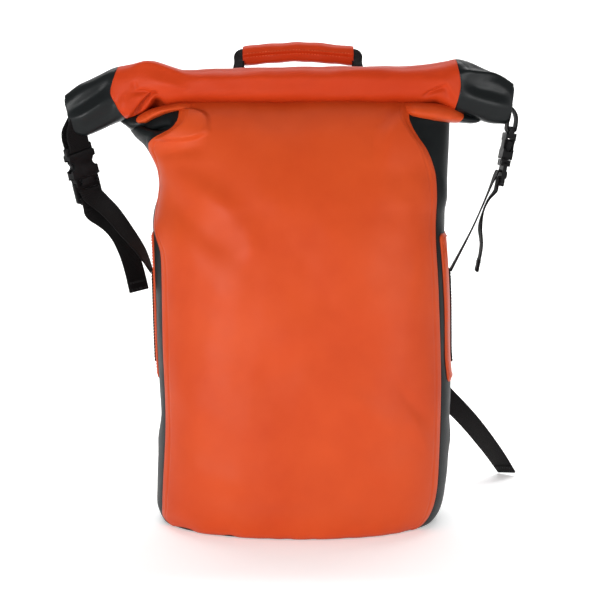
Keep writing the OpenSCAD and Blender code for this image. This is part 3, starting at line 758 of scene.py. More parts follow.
def roll_relief(x, a):
    """Folds of the roll. a is the angle round it: 0 = back, 90 = top, 180 = front, 270 = under."""
    v = a * .024
    h = 0.0003 * waves(x, v, 7, .06, 31) + 0.00015 * waves(x, v, 8, .022, 32)
    top = math.pi * .5 * .024
    fr = math.pi * .024
    # the pinch in the left end: a short upright nick, a fold to the right
        # and a deep one back down to the left
    h += creases(x, v, [
        ((-.171, fr - .006), (-.169, fr + .002), .0022, -.0022),
        ((-.173, fr + .003), (-.148, fr + .009), .0024, -.0042),
        ((-.148, fr + .008), (-.176, fr + .028), .0028, -.0075),
        ((-.186, fr + .006), (-.170, fr + .024), .0075, .0040),
        ((-.158, fr - .004), (-.120, fr + .001), .0060, .0022),
        # edges of the flat top of the left hump
        ((-.176, top + .016), (-.118, top + .020), .0040, .0024),
        ((-.168, top + .004), (-.122, top + .006), .0070, -.0016),
        # the pinch in the right end
        ((.143, fr + .002), (.1215, fr + .014), .0024, -.0042),
        ((.141, fr + .001), (.151, fr + .016), .0030, -.0022),
        ((.120, fr - .004), (.150, fr - .003), .0060, .0016),
        ((.030, top + .022), (.090, top + .017), .0060, .0016),
        ((.050, top + .012), (.120, top + .010), .0070, -.0012),
        # long shallow folds of the wound cloth
        ((-.060, top + .018), (.030, top + .021), .006, .0009),
        ((-.110, fr - .010), (.090, fr - .008), .0045, .0010),
        ((.000, fr + .008), (.090, fr + .006), .006, -.0008),
        # ends, gathered by the buckles
        ((-.240, fr + .007), (-.192, fr + .001), .0050, .0032),
        ((-.238, fr - .004), (-.194, fr - .012), .0055, -.0022),
        ((-.232, fr + .018), (-.190, fr + .014), .0050, -.0014),
        ((.158, fr - .0105), (.2137, top + .0105), .0030, .0030),
        ((.164, fr - .0220), (.205, top + .0040), .0070, -.0026),
        ((.166, fr - .0010), (.210, fr - .0080), .0060, -.0022),
        ((.160, fr + .0065), (.212, fr + .0045), .0060, .0018),
    ])
    return h


def roll_points(x):
    """Points round the roll's outside, AROUND of them in each row of x."""
    ang = np.broadcast_to(np.linspace(0, 2 * math.pi, AROUND + 1)[:-1][None], x.shape)
    c, s = np.cos(ang), np.sin(ang)
    r = squircle(c, s, ROLL_POWER)
    relief = roll_relief(x, ang)
    d, h = roll_d(x) + relief, roll_h(x) + relief
    # under the front edge the cloth lifts where the ends are pinched
    low = smoothstep(-s, .15, .95) * smoothstep(-c, -.5, .3)
    lift = low * (.0105 * np.exp(-((x + .149) / .0080) ** 2) + .0030 * np.exp(-((x - .134) / .008) ** 2))
    tuck = .0032 * smoothstep(-s, .15, 1.0) * smoothstep(x, .190, .2137)
    return np.stack([x + roll_lean(x) * s - tuck, roll_y(x) + d * c * r,
                     NECK + roll_up(x) + h * s * r + lift], axis=-1)


def flat_end(x):
    """End of the roll at one x all round."""
    return lambda s: np.full(s.shape, x)


def roll_seam_left(s):
    return -.1862 - .0085 * np.exp(-((s - .15) / .55) ** 2) + .0060 * smoothstep(-s, .35, 1.0)


def roll_seam_right(s):
    return .1545 + .0045 * np.exp(-((s - .05) / .6) ** 2) - .0012 * smoothstep(-s, .4, 1.0)


def roll_piece(name, start, end, count, material):
    """Length of the roll's outer skin between two seams, each given as x round the roll."""
    a = np.linspace(0, 2 * math.pi, AROUND + 1)[:-1]
    t = np.linspace(0, 1, count)[:, None]
    x0, x1 = start(np.sin(a))[None], end(np.sin(a))[None]
    xs = x0 + (x1 - x0) * t
    p = roll_points(xs)
    n = grid_normals(p, wrap=True)
    centre = p.mean(axis=1, keepdims=True)
    if np.sum(n * (p - centre)) < 0:
        n = -n
    inner = p - n * .0016
    uv = np.stack([xs, run_length(p, 1)], axis=2).reshape(-1, 2)
    ob = add_object(name, np.concatenate([p.reshape(-1, 3), inner.reshape(-1, 3)]), tube_faces(*p.shape[:2]),
                    material, np.concatenate([uv, uv]))
    tidy_normals(ob)
    return ob


mid_roll = roll_piece("roll_center_skin", roll_seam_left, roll_seam_right, 200, ORANGE_TOP)
place(mid_roll, "root", "orange_tarpaulin", "roll_center")
end_l = roll_piece("roll_end_left_skin", flat_end(ROLL_X[0]), roll_seam_left, 46, BLACK)
place(end_l, "root", "black_tarpaulin", "roll_end_left")
end_r = roll_piece("roll_end_right_skin", roll_seam_right, flat_end(ROLL_X[-1]), 44, BLACK)
place(end_r, "root", "black_tarpaulin", "roll_end_right")


def roll_layers(name, x_end, inward, material):
    """The wound layers that show in the open end of the roll."""
    turns_wound = 3
    s = np.linspace(0, 1, 170)
    ang = 2 * math.pi * turns_wound * s + math.pi
    r = squircle(np.cos(ang), np.sin(ang), ROLL_POWER)
    shrink = 0.0026 + 0.0068 * s
    rows = []
    for k in (-.0006, .006, .016):
        x = x_end - inward * k
        d = np.maximum(roll_d(x) - shrink, .001)
        h = np.maximum(roll_h(x) - shrink, .002)
        rows.append(np.stack([x + roll_lean(x) * np.sin(ang), roll_y(x) + d * np.cos(ang) * r,
                              NECK + roll_up(x) + h * np.sin(ang) * r], axis=-1))
    return sheet_object(name, np.array(rows), material, thick=.0009)


layers_l = roll_layers("roll_layers_left", ROLL_X[0], -1, BLACK)
place(layers_l, "root", "black_tarpaulin")
layers_r = roll_layers("roll_layers_right", ROLL_X[-1], 1, BLACK)
place(layers_r, "root", "black_tarpaulin")

strip = from_cad("closure_stiffener_body", "closure_stiffener", STIFF, .0004)
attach(strip, "root")


# ------------------------------------------------ folds of the mouth under the roll
def wing(name, stations, material, seed, rows):
    """A folded corner of the mouth, a flattened tube through stations.

    A station is x, top and low as heights from the crease, middle y and half depth.
    """
    cols = 48
    spots = np.linspace(0, len(stations) - 1, rows)
    stations = [(x, NECK + top, NECK + low, y, d) for x, top, low, y, d in stations]
    x, top, low, ym, deep = [curve(list(enumerate(q)))(spots)[:, None] for q in zip(*stations)]
    a = np.linspace(0, 2 * math.pi, cols + 1)[:-1][None]
    lens = np.sign(np.sin(a)) * np.abs(np.sin(a)) ** .9
    p = np.stack([x + 0 * a, ym + deep * np.cos(a) * (1 - .25 * lens),
                  (top + low) / 2 + (top - low) / 2 * lens], axis=-1)
    p += grid_normals(p, wrap=True) * (0.0004 * waves(p[..., 0], p[..., 2], 6, .025, seed))[..., None]
    faces = grid_faces(rows, cols, wrap=True) + [tuple(range(cols)),
                                                 tuple(range((rows - 1) * cols, rows * cols))]
    uv = np.stack([x + 0 * a, .03 * a + 0 * x], axis=-1).reshape(-1, 2)
    ob = add_object(name, p.reshape(-1, 3), faces, material, uv)
    tidy_normals(ob)
    return ob


MOUTH_FOLDS = [
    ("mouth_fold_right", ORANGE, "orange_tarpaulin", 41, 76,
     [(.066, .002, -.002, -.002, .003), (.086, .003, -.006, -.007, .008), (.100, .003, -.0110, -.020, .0130),
      (.112, .003, -.0142, -.0255, .0180), (.129, .002, -.0162, -.0235, .0185),
      (.148, -.0008, -.0182, -.0165, .0165), (.1575, -.0040, -.0180, -.011, .013),
      (.1640, -.0085, -.0174, -.009, .010)]),
    ("mouth_fold_tip_right", BLACK, "black_tarpaulin", 42, 40,
     [(.158, -.0045, -.0178, -.0088, .0126), (.165, -.0090, -.0180, -.009, .0098),
      (.173, -.0100, -.0188, -.008, .0078), (.180, -.0120, -.0178, -.007, .0050),
      (.1830, -.0135, -.0158, -.007, .0018)]),
    ("mouth_fold_left", ORANGE, "orange_tarpaulin", 43, 90,
     [(-.070, .002, -.002, .003, .003), (-.090, .003, -.004, .000, .007), (-.108, .003, -.0065, -.014, .0115),
      (-.122, .003, -.0074, -.020, .0155), (-.138, .001, -.0090, -.020, .016),
      (-.151, -.0025, -.0133, -.016, .0145), (-.161, -.0065, -.0190, -.013, .011),
      (-.1675, -.0105, -.0192, -.012, .007), (-.1705, -.0138, -.0175, -.012, .003)]),
    ("mouth_gusset_left", BLACK, "black_tarpaulin", 44, 60,
     [(-.130, .002, -.016, .002, .010), (-.150, 0, -.024, .001, .013), (-.165, -.004, -.026, .000, .013),
      (-.176, -.008, -.0255, .000, .011), (-.184, -.011, -.0205, .000, .007),
      (-.1895, -.0125, -.0165, .000, .003)]),
    ("mouth_gusset_right", BLACK, "black_tarpaulin", 45, 60,
     [(.120, .003, -.010, .004, .009), (.145, .002, -.0140, .002, .012), (.165, 0, -.0172, .000, .011),
      (.180, -.001, -.0168, .000, .009), (.190, -.004, -.0150, .000, .006),
      (.196, -.007, -.0125, .000, .002)]),
]
for name, material, slot, seed, rows, stations in MOUTH_FOLDS:
    place(wing(name, stations, material, seed, rows), "root", slot)


# ----------------------------------------------------- patches on the sides
def side_grid(direction, y0, y1, z0, z1, off, cols=20, rows=60, round_corner=0.006):
    """Grid that lies on the bag's side, off metres outside it."""
    z = np.linspace(z0, z1, rows)
    out = np.zeros((rows, cols, 3))
    for i, q in enumerate(z):
        edge = min(q - z0, z1 - q)
        cut = round_corner - math.sqrt(max(0.0, round_corner ** 2 - max(0.0, round_corner - edge) ** 2))
        y = np.linspace(y0 + cut, y1 - cut, cols)
        if direction > 0:
            t = turn_at(np.full(cols, q), y, 1, -75, 75)
        else:
            t = np.array([left_turn(q, v) for v in y])
        out[i] = skin(np.full(cols, q), t, off)
    return out


LEFT_TURNS = np.radians(np.linspace(105, 255, 601))


def left_turn(q, y):
    ys = skin(np.full(len(LEFT_TURNS), q), LEFT_TURNS)[:, 1]
    k = np.argsort(ys)
    return float(np.interp(y, ys[k], LEFT_TURNS[k]))


def border(p):
    """Indices round the edge of a grid, in order."""
    rows, cols = p.shape[:2]
    return ([(0, j) for j in range(cols)] + [(i, cols - 1) for i in range(1, rows)]
            + [(rows - 1, j) for j in range(cols - 2, -1, -1)] + [(i, 0) for i in range(rows - 2, -1, -1)])


def flat_skin(name, p, material, thick, flip=False, rim=0.0):
    """A sheet over a grid, with its border turned down."""
    if rim:
        rows, cols = p.shape[:2]
        n = grid_normals(p) * (-1 if flip else 1)
        i = np.minimum(np.arange(rows), np.arange(rows)[::-1])[:, None]
        j = np.minimum(np.arange(cols), np.arange(cols)[::-1])[None]
        down = rim * np.exp(-np.minimum(i, j) / 0.7)
        p = p - n * down[..., None]
    return sheet_object(name, p, material, thick, flip=flip)


anchor_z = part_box("sewn_strip_right")[1][2]
strip_top = {}
for side, d, ahead in (("left", -1, .001), ("right", 1, -.021)):
    lo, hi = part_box("side_patch_" + side)
    p = side_grid(d, lo[1] + ahead, hi[1] - .001, lo[2], hi[2], .0017)
    ob = flat_skin(f"side_patch_{side}_cloth", p, ORANGE, .0016, flip=d < 0, rim=.0010)
    tidy_normals(ob)
    place(ob, "root", "orange_tarpaulin", f"side_patch_{side}")
    lo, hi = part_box("sewn_strip_" + side)
    p = side_grid(d, lo[1], hi[1], lo[2], hi[2] + .004, .0038, cols=10, rows=70, round_corner=.0008)
    ob = flat_skin(f"sewn_strip_{side}_webbing", p, WEBBING, .0014, flip=d < 0, rim=.0003)
    tidy_normals(ob)
    place(ob, "root", "black_webbing", f"sewn_strip_{side}")
    strip_top[side] = (p[-1, 4] + p[-1, 5]) / 2
    parts = []
    n = grid_normals(p) * (-1 if d < 0 else 1)
    rows, cols = p.shape[:2]
    for c in (1, cols - 2):
        parts += stitch_line(p[:, c], n[:, c])
    for r in (3, 20, 42, rows - 8):
        for k in range(2):
            parts += stitch_line(p[r + k, 1:cols - 1], n[r + k, 1:cols - 1])
    for r0, r1 in ((3, 20), (42, rows - 8)):
        c = np.linspace(1, cols - 2, 12)
        for cc in (c, c[::-1]):
            rr = np.linspace(r0, r1, 12)
            at = np.array([p[int(round(a)), int(round(b))] for a, b in zip(rr, cc)])
            nn = np.array([n[int(round(a)), int(round(b))] for a, b in zip(rr, cc)])
            parts += stitch_line(at, nn)
    lo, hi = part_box("side_patch_" + side)
    q = side_grid(d, lo[1] + ahead + .004, hi[1] - .005, lo[2] + .004, hi[2] - .004, .0019, cols=14, rows=50)
    qn = grid_normals(q) * (-1 if d < 0 else 1)
    ring = border(q)
    red = stitch_line([q[i] for i in ring], [qn[i] for i in ring])
    ob = join_mesh(f"side_strip_{side}_stitching", parts, THREAD)
    place(ob, "root", "black_webbing")
    ob = join_mesh(f"side_patch_{side}_stitching", red, RED_THREAD)
    place(ob, "root", "orange_tarpaulin")


# ----------------------------------------------------------- buckles and straps
M_LEFT = np.array([-.2255, -.007, .360])
M_RIGHT = np.array([.209, 0, .378])


def axes_left():
    r = (Matrix.Rotation(math.radians(-11), 3, "Y") @ Matrix.Rotation(math.radians(12), 3, "X")
         @ Matrix.Rotation(math.radians(222), 3, "Z"))
    return np.array(r)


def axes_right():
    return np.array(Matrix.Rotation(math.radians(10), 3, "Y") @ Matrix.Rotation(math.radians(90), 3, "Z"))


AXES = {"left": (M_LEFT, axes_left()), "right": (M_RIGHT, axes_right())}


def at(side, p):
    o, r = AXES[side]
    return o + r @ np.array(p, float)


def way(side, v):
    return AXES[side][1] @ np.array(v, float)


PRONG_SIDES = ("front", "rear")
for side in ("left", "right"):
    ob = from_cad(f"buckle_female_{side}_body", f"buckle_female_{side}", ACETAL, .0007, 3)
    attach(ob, "root")
    ob = from_cad(f"buckle_male_{side}_body", f"buckle_male_{side}", ACETAL, .0006, 3)
    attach(ob, f"{side}_buckle_male")
    for pos in PRONG_SIDES:
        ob = from_cad(f"prong_{pos}_{side}_body", f"prong_{pos}_{side}", ACETAL, .0005, 3)
        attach(ob, f"{side}_prong_{pos}")

# sizes inside the buckle's own frame, the same as the CAD's
BAR_Z = .034 - .0034 / 2
LAYER_Y = .0023
STRAP_Y = LAYER_Y + WEB_T + .0013
WRAP_TOP = -.014 + .0019
WRAP_LOW = -.018 - .0019
TAIL_TOP = -.028 - .0015
TAIL_Y = LAYER_Y + WEB_T / 2

for side in ("left", "right"):
    # grip ribs on the male's shoulders
    parts = []
    for face in (-1, 1):
        for k in range(4):
            half = .0095 - .0006 * k
            path = [at(side, (x, face * .0029, -.0228 - .0012 * k)) for x in np.linspace(-half, half, 6)]
            parts += [stitch(a, b, way(side, (0, face, 0)), .0004) for a, b in zip(path[:-1], path[1:])]
    ob = join_mesh(f"grip_ribs_{side}", parts, ACETAL)
    place(ob, f"{side}_buckle_male", "black_acetal")
    # raised rim round the female's mouth
    loop = [(.0135, .0050), (.0158, .0030), (.0158, -.0030), (.0135, -.0050), (-.0135, -.0050),
            (-.0158, -.0030), (-.0158, .0030), (-.0135, .0050), (.0135, .0050)]
    path = [at(side, (x * 1.012, y * 1.04, .0012)) for x, y in spline(loop, 4)]
    rim = [stitch(a, b, way(side, (0, 0, 1)), .0007) for a, b in zip(path[:-1], path[1:])]
    ob = join_mesh(f"mouth_rim_{side}", rim, ACETAL)
    place(ob, "root", "black_acetal")


def loop_path(side, front_leg, rear_leg):
    """Webbing round the female's bar, from one end in the roll to the other."""
    rr = .0034 / 2 + .001 + .0006 + .0010
    under = [at(side, (0, rr * math.sin(a), BAR_Z - rr * math.cos(a)))
             for a in np.radians([-90, -60, -30, 0, 30, 60, 90])]
    return front_leg + under + rear_leg


loops = {
    "left": loop_path("left", [(-.2300, -.0120, .4250), (-.2358, -.0120, .4110), (-.2370, -.0127, .4015)],
                      [(-.2303, -.0187, .4010), (-.2306, -.0180, .4100), (-.2270, -.0165, .4250)]),
    "right": loop_path("right", [(.2060, 0, .4365), (.2138, 0, .4315), (.2184, 0, .4255), (.2200, 0, .4185)],
                       [(.2108, 0, .4160), (.2085, 0, .4240)]),
}
for side in ("left", "right"):
    pts = loops[side]
    acr = [way(side, (1, 0, 0))] * len(pts)
    ob = ribbon(f"buckle_loop_{side}_webbing", pts, acr, steps=6, thick=.0021 if side == "left" else WEB_T,
                scale=[.80, .90, 1] + [1] * (len(pts) - 6) + [1, .90, .80])
    tidy_normals(ob)
    place(ob, "root", "black_webbing", f"buckle_loop_{side}")

for side in ("left", "right"):
    front = -.0020 - .0004 - WEB_T / 2
    pts = [(0, STRAP_Y - WEB_T / 2 - .0004, WRAP_TOP - .0007), (0, 0, WRAP_TOP - .0004),
           (0, front + .0006, WRAP_TOP - .0006), (0, front, WRAP_TOP - .0018),
           (0, front - .0002, (WRAP_TOP + WRAP_LOW) / 2), (0, front, WRAP_LOW + .0016),
           (0, front + .0008, WRAP_LOW + .0006), (0, 0, WRAP_LOW + .0006),
           (0, TAIL_Y - .0004, WRAP_LOW + .0002), (0, TAIL_Y, WRAP_LOW - .0022),
           (0, TAIL_Y, TAIL_TOP - .0004)]
    pts = [at(side, p) for p in pts]
    ob = ribbon(f"strap_wrap_{side}_webbing", pts, [way(side, (-1, 0, 0))] * len(pts), steps=4)
    tidy_normals(ob)
    place(ob, f"{side}_buckle_male", "black_webbing", f"strap_wrap_{side}")

acr_l = way("left", (-1, 0, 0))
strap_l = [at("left", (0, STRAP_Y, WRAP_TOP)), at("left", (0, STRAP_Y + .0015, WRAP_TOP - .006)),
           (-.209, -.0065, .334), (-.198, -.0055, .323), (-.185, -.004, .306), (-.1685, -.002, .283),
           (strip_top["left"][0] - WEB_T * .6, 0, anchor_z + .001)]
strap_l_acr = [acr_l, acr_l, (.6, .74, .3), (.5, .8, .3), (.42, .86, .25), (.25, .95, .12), (0, 1, 0)]
strap_r = [at("right", (0, STRAP_Y, WRAP_TOP)), at("right", (0, STRAP_Y + .0015, WRAP_TOP - .006)),
           (.1946, 0, .3495), (.187, 0, .3305), (.1745, 0, .3023),
           (strip_top["right"][0] + WEB_T * .6, 0, anchor_z + .001)]
strap_r_acr = [(0, -1, 0), (0, -1, 0), (-.08, -1, 0), (-.12, -1, 0), (-.12, -1, 0), (-.05, -1, 0)]
for side, pts, acr in (("left", strap_l, strap_l_acr), ("right", strap_r, strap_r_acr)):
    ob = ribbon(f"side_strap_{side}_webbing", pts, acr, steps=14)
    tidy_normals(ob)
    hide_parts(f"side_strap_{side}")
    tuple(pts[-1])
    tuple(pts[1])
    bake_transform(ob)


HEM = .012              # length of the folded end of a loose strap


def tail(name, points, across, body, steps=10):
    """Loose end of a strap, with its end folded over and stitched down."""
    ob = ribbon(name + "_webbing", points, across, steps=steps)
    tidy_normals(ob)
    place(ob, body, "black_webbing", name)
    p, t, w, _ = path_frames(points, across, steps)
    end = p[-1]
    back = p[-1] - t[-1] * HEM
    fold = [back - t[-1] * .0008, back, (back + end) / 2, end - t[-1] * .0006, end + t[-1] * .0004]
    o = flat_outline(WEB_W - .0004, WEB_T * 2.05)
    hm = ribbon(name + "_hem", fold, [w[-1]] * 5, steps=4, outline=o, scale=[.97, 1, 1, 1, .985])
    tidy_normals(hm)
    place(hm, body, "black_webbing")
    lines = bar_tack(.0105, .002, 2) + bar_tack(.0105, HEM - .0028, 2)
    st = ribbon_stitches([back, (back + end) / 2, end], [w[-1]] * 3, lines, lift=WEB_T * 1.02, sides=(1, -1))
    s = join_mesh(name + "_hem_stitching", st, THREAD)
    place(s, body, "black_webbing")


tail("strap_tail_left",
     [at("left", (0, TAIL_Y, TAIL_TOP)), at("left", (0, TAIL_Y, TAIL_TOP - .003)),
      at("left", (0, TAIL_Y, TAIL_TOP - .0065)), (-.210, .003, .3195), (-.201, .0065, .311),
      (-.191, .0075, .2985),
      (-.1825, .0075, .280), (-.1765, .0065, .260), (-.1720, .0055, .2405)],
     [acr_l, acr_l, acr_l, (.66, .65, .35), (.65, .7, .3), (.65, .7, .3), (.65, .7, .3), (.66, .68, .3),
      (.68, .66, .3)], "left_strap_tail")
tail("strap_tail_right",
     [at("right", (0, TAIL_Y, TAIL_TOP)), at("right", (0, TAIL_Y + .0005, TAIL_TOP - .005)),
      (.1928, 0, .336), (.1876, 0, .324), (.1846, 0, .307), (.186, 0, .287), (.1815, 0, .262)],
     [(0, -1, 0), (0, -1, 0), (-.08, -1, 0), (-.10, -1, 0), (.02, -1, 0), (-.02, -1, 0), (-.06, -1, 0)],
     "right_strap_tail")

# --------------------------------------------------------------- carry handle
GRIP_MID, GRIP_HALF, LEG_HALF = -.005, .058, .062
HANDLE_Y, HINGE_Z, GRIP_Z = .052, .444, .486
ARCH = .0044            # rise of the grip's middle over its ends


def handle_half(sign):
    right_half = [(LEG_HALF, HANDLE_Y, HINGE_Z + .0003), (LEG_HALF + .001, HANDLE_Y, HINGE_Z + .018),
                  (LEG_HALF + .001, HANDLE_Y, GRIP_Z - .010), (GRIP_HALF + .003, HANDLE_Y, GRIP_Z - .0015),
                  (GRIP_HALF - .008, HANDLE_Y, GRIP_Z), (GRIP_HALF * .5, HANDLE_Y, GRIP_Z + ARCH * .75),
                  (0, HANDLE_Y, GRIP_Z + ARCH)]
    return [(sign * p[0] + GRIP_MID, p[1], p[2]) for p in right_half]


half_l, half_r = handle_half(-1), handle_half(1)
pts = half_l + half_r[::-1][1:]
turned = [(.95, .3, 0), (.75, .65, 0), (.45, .75, .45), (.2, .6, .7)] + [(0, .707, .707)] * 3
acr = [(-.8, .6, 0), (-.7, .7, 0)] + [(-a[0], a[1], a[2]) for a in turned[2:]] + turned[5::-1]
ob = ribbon("handle_webbing_strap", pts, acr, width=.022, steps=8)
tidy_normals(ob)
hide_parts("handle_webbing")
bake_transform(ob)

# Sleeve: a piece of orange cloth folded round the webbing and a core, sewn along its front
rows, cols = 96, 84
sx = np.linspace(-1, 1, rows)
length = .0585
sa = np.linspace(0, 2 * math.pi, cols + 1)[:-1]
X, A = np.meshgrid(sx, sa, indexing="ij")
end_pinch = 1 - .04 * smoothstep(np.abs(X), .93, 1.0)
hh, dd = .0104 * end_pinch, .0125 * end_pinch
rr = squircle(np.cos(A), np.sin(A), 2.5)
wob = 0.00035 * waves(X * length, A * .011, 7, .035, 51)
# 0 = back, 90 = top, 180 = front: the sewn seam runs along the front, just below its middle
seam_a = math.radians(182)
under_lip = A - seam_a
seam_dip = (.0007 * np.exp(-((under_lip + .09) / .10) ** 2)
            - .0026 * smoothstep(under_lip, -.02, .07) * (1 - smoothstep(under_lip, .45, 1.1)))
lift_z = ARCH * (1 - np.abs(X) ** 1.4)
p = np.stack([GRIP_MID + X * length, HANDLE_Y + (dd + wob + seam_dip) * np.cos(A) * rr,
              GRIP_Z + lift_z + (hh + wob) * np.sin(A) * rr], axis=-1)
centre = np.stack([GRIP_MID + X * length, HANDLE_Y + 0 * X, GRIP_Z + lift_z], axis=-1)
inner = centre + (p - centre) * .86
uv = np.stack([X * length, A * .011], axis=-1).reshape(-1, 2)
sleeve = add_object("handle_sleeve_cloth", np.concatenate([p.reshape(-1, 3), inner.reshape(-1, 3)]),
                    tube_faces(rows, cols), ORANGE_TOP, np.concatenate([uv, uv]))
tidy_normals(sleeve)
place(sleeve, "handle", "orange_tarpaulin", "handle_sleeve")
# foam core that shows at the sleeve's ends
core_p = centre + (p - centre) * .84
core_rows = np.concatenate([core_p[2:4], core_p[-4:-2]])
fc = grid_faces(2, cols, wrap=True) + [tuple(range(cols)), tuple(range(cols, 2 * cols))]
fc2 = [tuple(q + 2 * cols for q in f) for f in fc]
core = add_object("handle_core", core_rows.reshape(-1, 3), fc + fc2, BLACK, core_rows.reshape(-1, 3)[:, :2])
tidy_normals(core)
place(core, "handle", "black_padding")

# two rows of stitching beside the sleeve's seam
parts = []
for off in (-.17, .17):
    j = int(round((seam_a + off) / (2 * math.pi) * cols)) % cols
    line = p[3:-3, j]
    ups = unit(p[3:-3, j] - centre[3:-3, j])
    parts += stitch_line(line, ups, radius=.0003)
ob = join_mesh("handle_sleeve_stitching", parts, RED_THREAD)
place(ob, "handle", "orange_tarpaulin")


def back_point(z, x, off):
    t = turn_at(np.atleast_1d(z), x, 0, 1, 179)
    return skin(np.atleast_1d(z), t, off)


anchor_parts = []
for s in (-1, 1):
    x = GRIP_MID + s * LEG_HALF
    foot = [back_point(z, x, .0052)[0] for z in (.412, .404, .394, .384)]
    pts = [(x, HANDLE_Y, HINGE_Z + .0006), (x, HANDLE_Y + .003, .430)] + [tuple(q) for q in foot]
    acr = [(.8, -.6, 0) if s < 0 else (.95, .3, 0), (1, 0, 0)] + [(1, -.2 * s, 0)] * 4
    ob = ribbon("handle_anchor_left" if s < 0 else "handle_anchor_right", pts, acr, width=.022, steps=10)
    tidy_normals(ob)
    place(ob, "root", "black_webbing", *(["handle_anchor"] if s < 0 else []))
    total = run_length(path_frames(pts, acr, 10)[0])[-1]
    anchor_parts += ribbon_stitches(pts, acr, box_x(.0088, total - .026, total - .003), steps=10,
                                    sides=(1, -1))
ob = join_mesh("handle_anchor_stitching", anchor_parts, THREAD)
place(ob, "root", "black_webbing")


# -------------------------------------------------------------------- harness
def back_grid(x_half, z0, z1, off, cols, rows, corner):
    """Grid on the bag's back, off metres outside it, with rounded corners."""
    out = np.zeros((rows, cols, 3))
    for i, z in enumerate(np.linspace(z0, z1, rows)):
        edge = min(z - z0, z1 - z)
        cut = corner - math.sqrt(max(0.0, corner ** 2 - max(0.0, corner - edge) ** 2))
        out[i] = back_point(np.full(cols, z), np.linspace(x_half - cut, -x_half + cut, cols), off)
    return out


def piping(name, places, ups, radius, material):
    """Bound edge: a thin closed cord of tape along a border."""
    pts = np.array(places)
    keep = [0]
    for k in range(1, len(pts)):
        if np.linalg.norm(pts[k] - pts[keep[-1]]) > radius * 1.2:
            keep.append(k)
    pts, ups = pts[keep], np.array(ups)[keep]
    if np.linalg.norm(pts[0] - pts[-1]) < radius * 1.2:
        pts, ups = pts[:-1], ups[:-1]
    t = unit(np.roll(pts, -1, axis=0) - np.roll(pts, 1, axis=0))
    side = unit(np.cross(ups, t))
    a = np.linspace(0, 2 * math.pi, 11)[:-1]
    ring = (pts[:, None] + radius * (np.cos(a)[None, :, None] * side[:, None] * .9
                                     + np.sin(a)[None, :, None] * unit(ups)[:, None]))
    n, m = ring.shape[:2]
    faces = grid_faces(n, m, wrap=True)
    faces += [((n - 1) * m + j, (n - 1) * m + (j + 1) % m, (j + 1) % m, j) for j in range(m)]
    uv = np.stack([np.broadcast_to(a[None] * radius, (n, m)),
                   np.broadcast_to(run_length(pts)[:, None], (n, m))], axis=2)
    ob = add_object(name, ring.reshape(-1, 3), faces, material, uv.reshape(-1, 2))
    tidy_normals(ob)
    return ob


# Padded back panel: two columns of cushions, with a channel up the middle and slanted ones across
lo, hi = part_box("back_pad")
pad_z0, pad_z1 = lo[2], hi[2]
rows, cols = 200, 150
flat = back_grid(.096, pad_z0 + .002, pad_z1 - .002, .0006, cols, rows, .022)
n = grid_normals(flat)
u = np.linspace(-1, 1, cols)[None]
v = np.linspace(0, 1, rows)[:, None]
dist_u = (1 - np.abs(u)) * .096
dist_v = np.minimum(v, 1 - v) * (pad_z1 - pad_z0)
edge = np.minimum(dist_u, dist_v)
dome = np.sqrt(np.clip(1 - (1 - np.clip(edge / .012, 0, 1)) ** 2, 0, 1))
height = .0062 * dome
spine = np.exp(-(u * .096 / .011) ** 2 * (1 + 0 * v))
height = height - .0040 * spine * smoothstep(edge, .006, .016)
for k in (1, 2, 3):
    line = (v - k / 4) * (pad_z1 - pad_z0) + .016 * np.abs(u) - .006
    height = height - .0030 * np.exp(-(line / .0036) ** 2) * smoothstep(edge, .004, .012)
height = height + .0003 * waves(flat[..., 0], flat[..., 2], 6, .05, 61)
p = flat + n * np.maximum(height, .0004)[..., None]
pad = sheet_object("back_pad_cushion", p, MESH, .0012)
tidy_normals(pad)
place(pad, "root", "black_padding", "back_pad")
ring = border(p)
edge_pipe = piping("back_pad_binding", [p[i] for i in ring[:-1]], [n[i] for i in ring[:-1]], .0022, WEBBING)
place(edge_pipe, "root", "black_webbing")

# yoke that the shoulder pads and the handle are sewn to
lo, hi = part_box("yoke_patch")
q = back_grid(.069, lo[2] + .001, hi[2] - .001, .0022, 70, 34, .008)
yoke = flat_skin("yoke_patch_cloth", q, BLACK, .0016, rim=.001)
tidy_normals(yoke)
place(yoke, "root", "black_tarpaulin", "yoke_patch")
q2 = back_grid(.066, lo[2] + .004, hi[2] - .004, .0024, 70, 34, .006)
n2 = grid_normals(q2)
ring = border(q2)
parts = stitch_line([q2[i] for i in ring], [n2[i] for i in ring])
for r in (5, 7):
    parts += stitch_line(q2[r, 2:-2], n2[r, 2:-2])
ob = join_mesh("yoke_stitching", parts, THREAD)
place(ob, "root", "black_webbing")

# shoulder straps
PAD_LINE = [(.038, .094, .368), (.042, .110, .367), (.049, .120, .350), (.061, .122, .316),
            (.076, .121, .278),
            (.088, .120, .240), (.094, .119, .216)]
PAD_ACROSS = [(1, 0, 0), (1, 0, 0), (1, 0, .15), (1, 0, .32), (1, 0, .32), (1, 0, .28), (1, 0, .2)]
PAD_WIDE = [.75, .85, 1, 1, .95, .8, .6]
PAD_W, PAD_T = .060, .011


def mirror(points, d):
    return [(d * p[0], p[1], p[2]) for p in points]


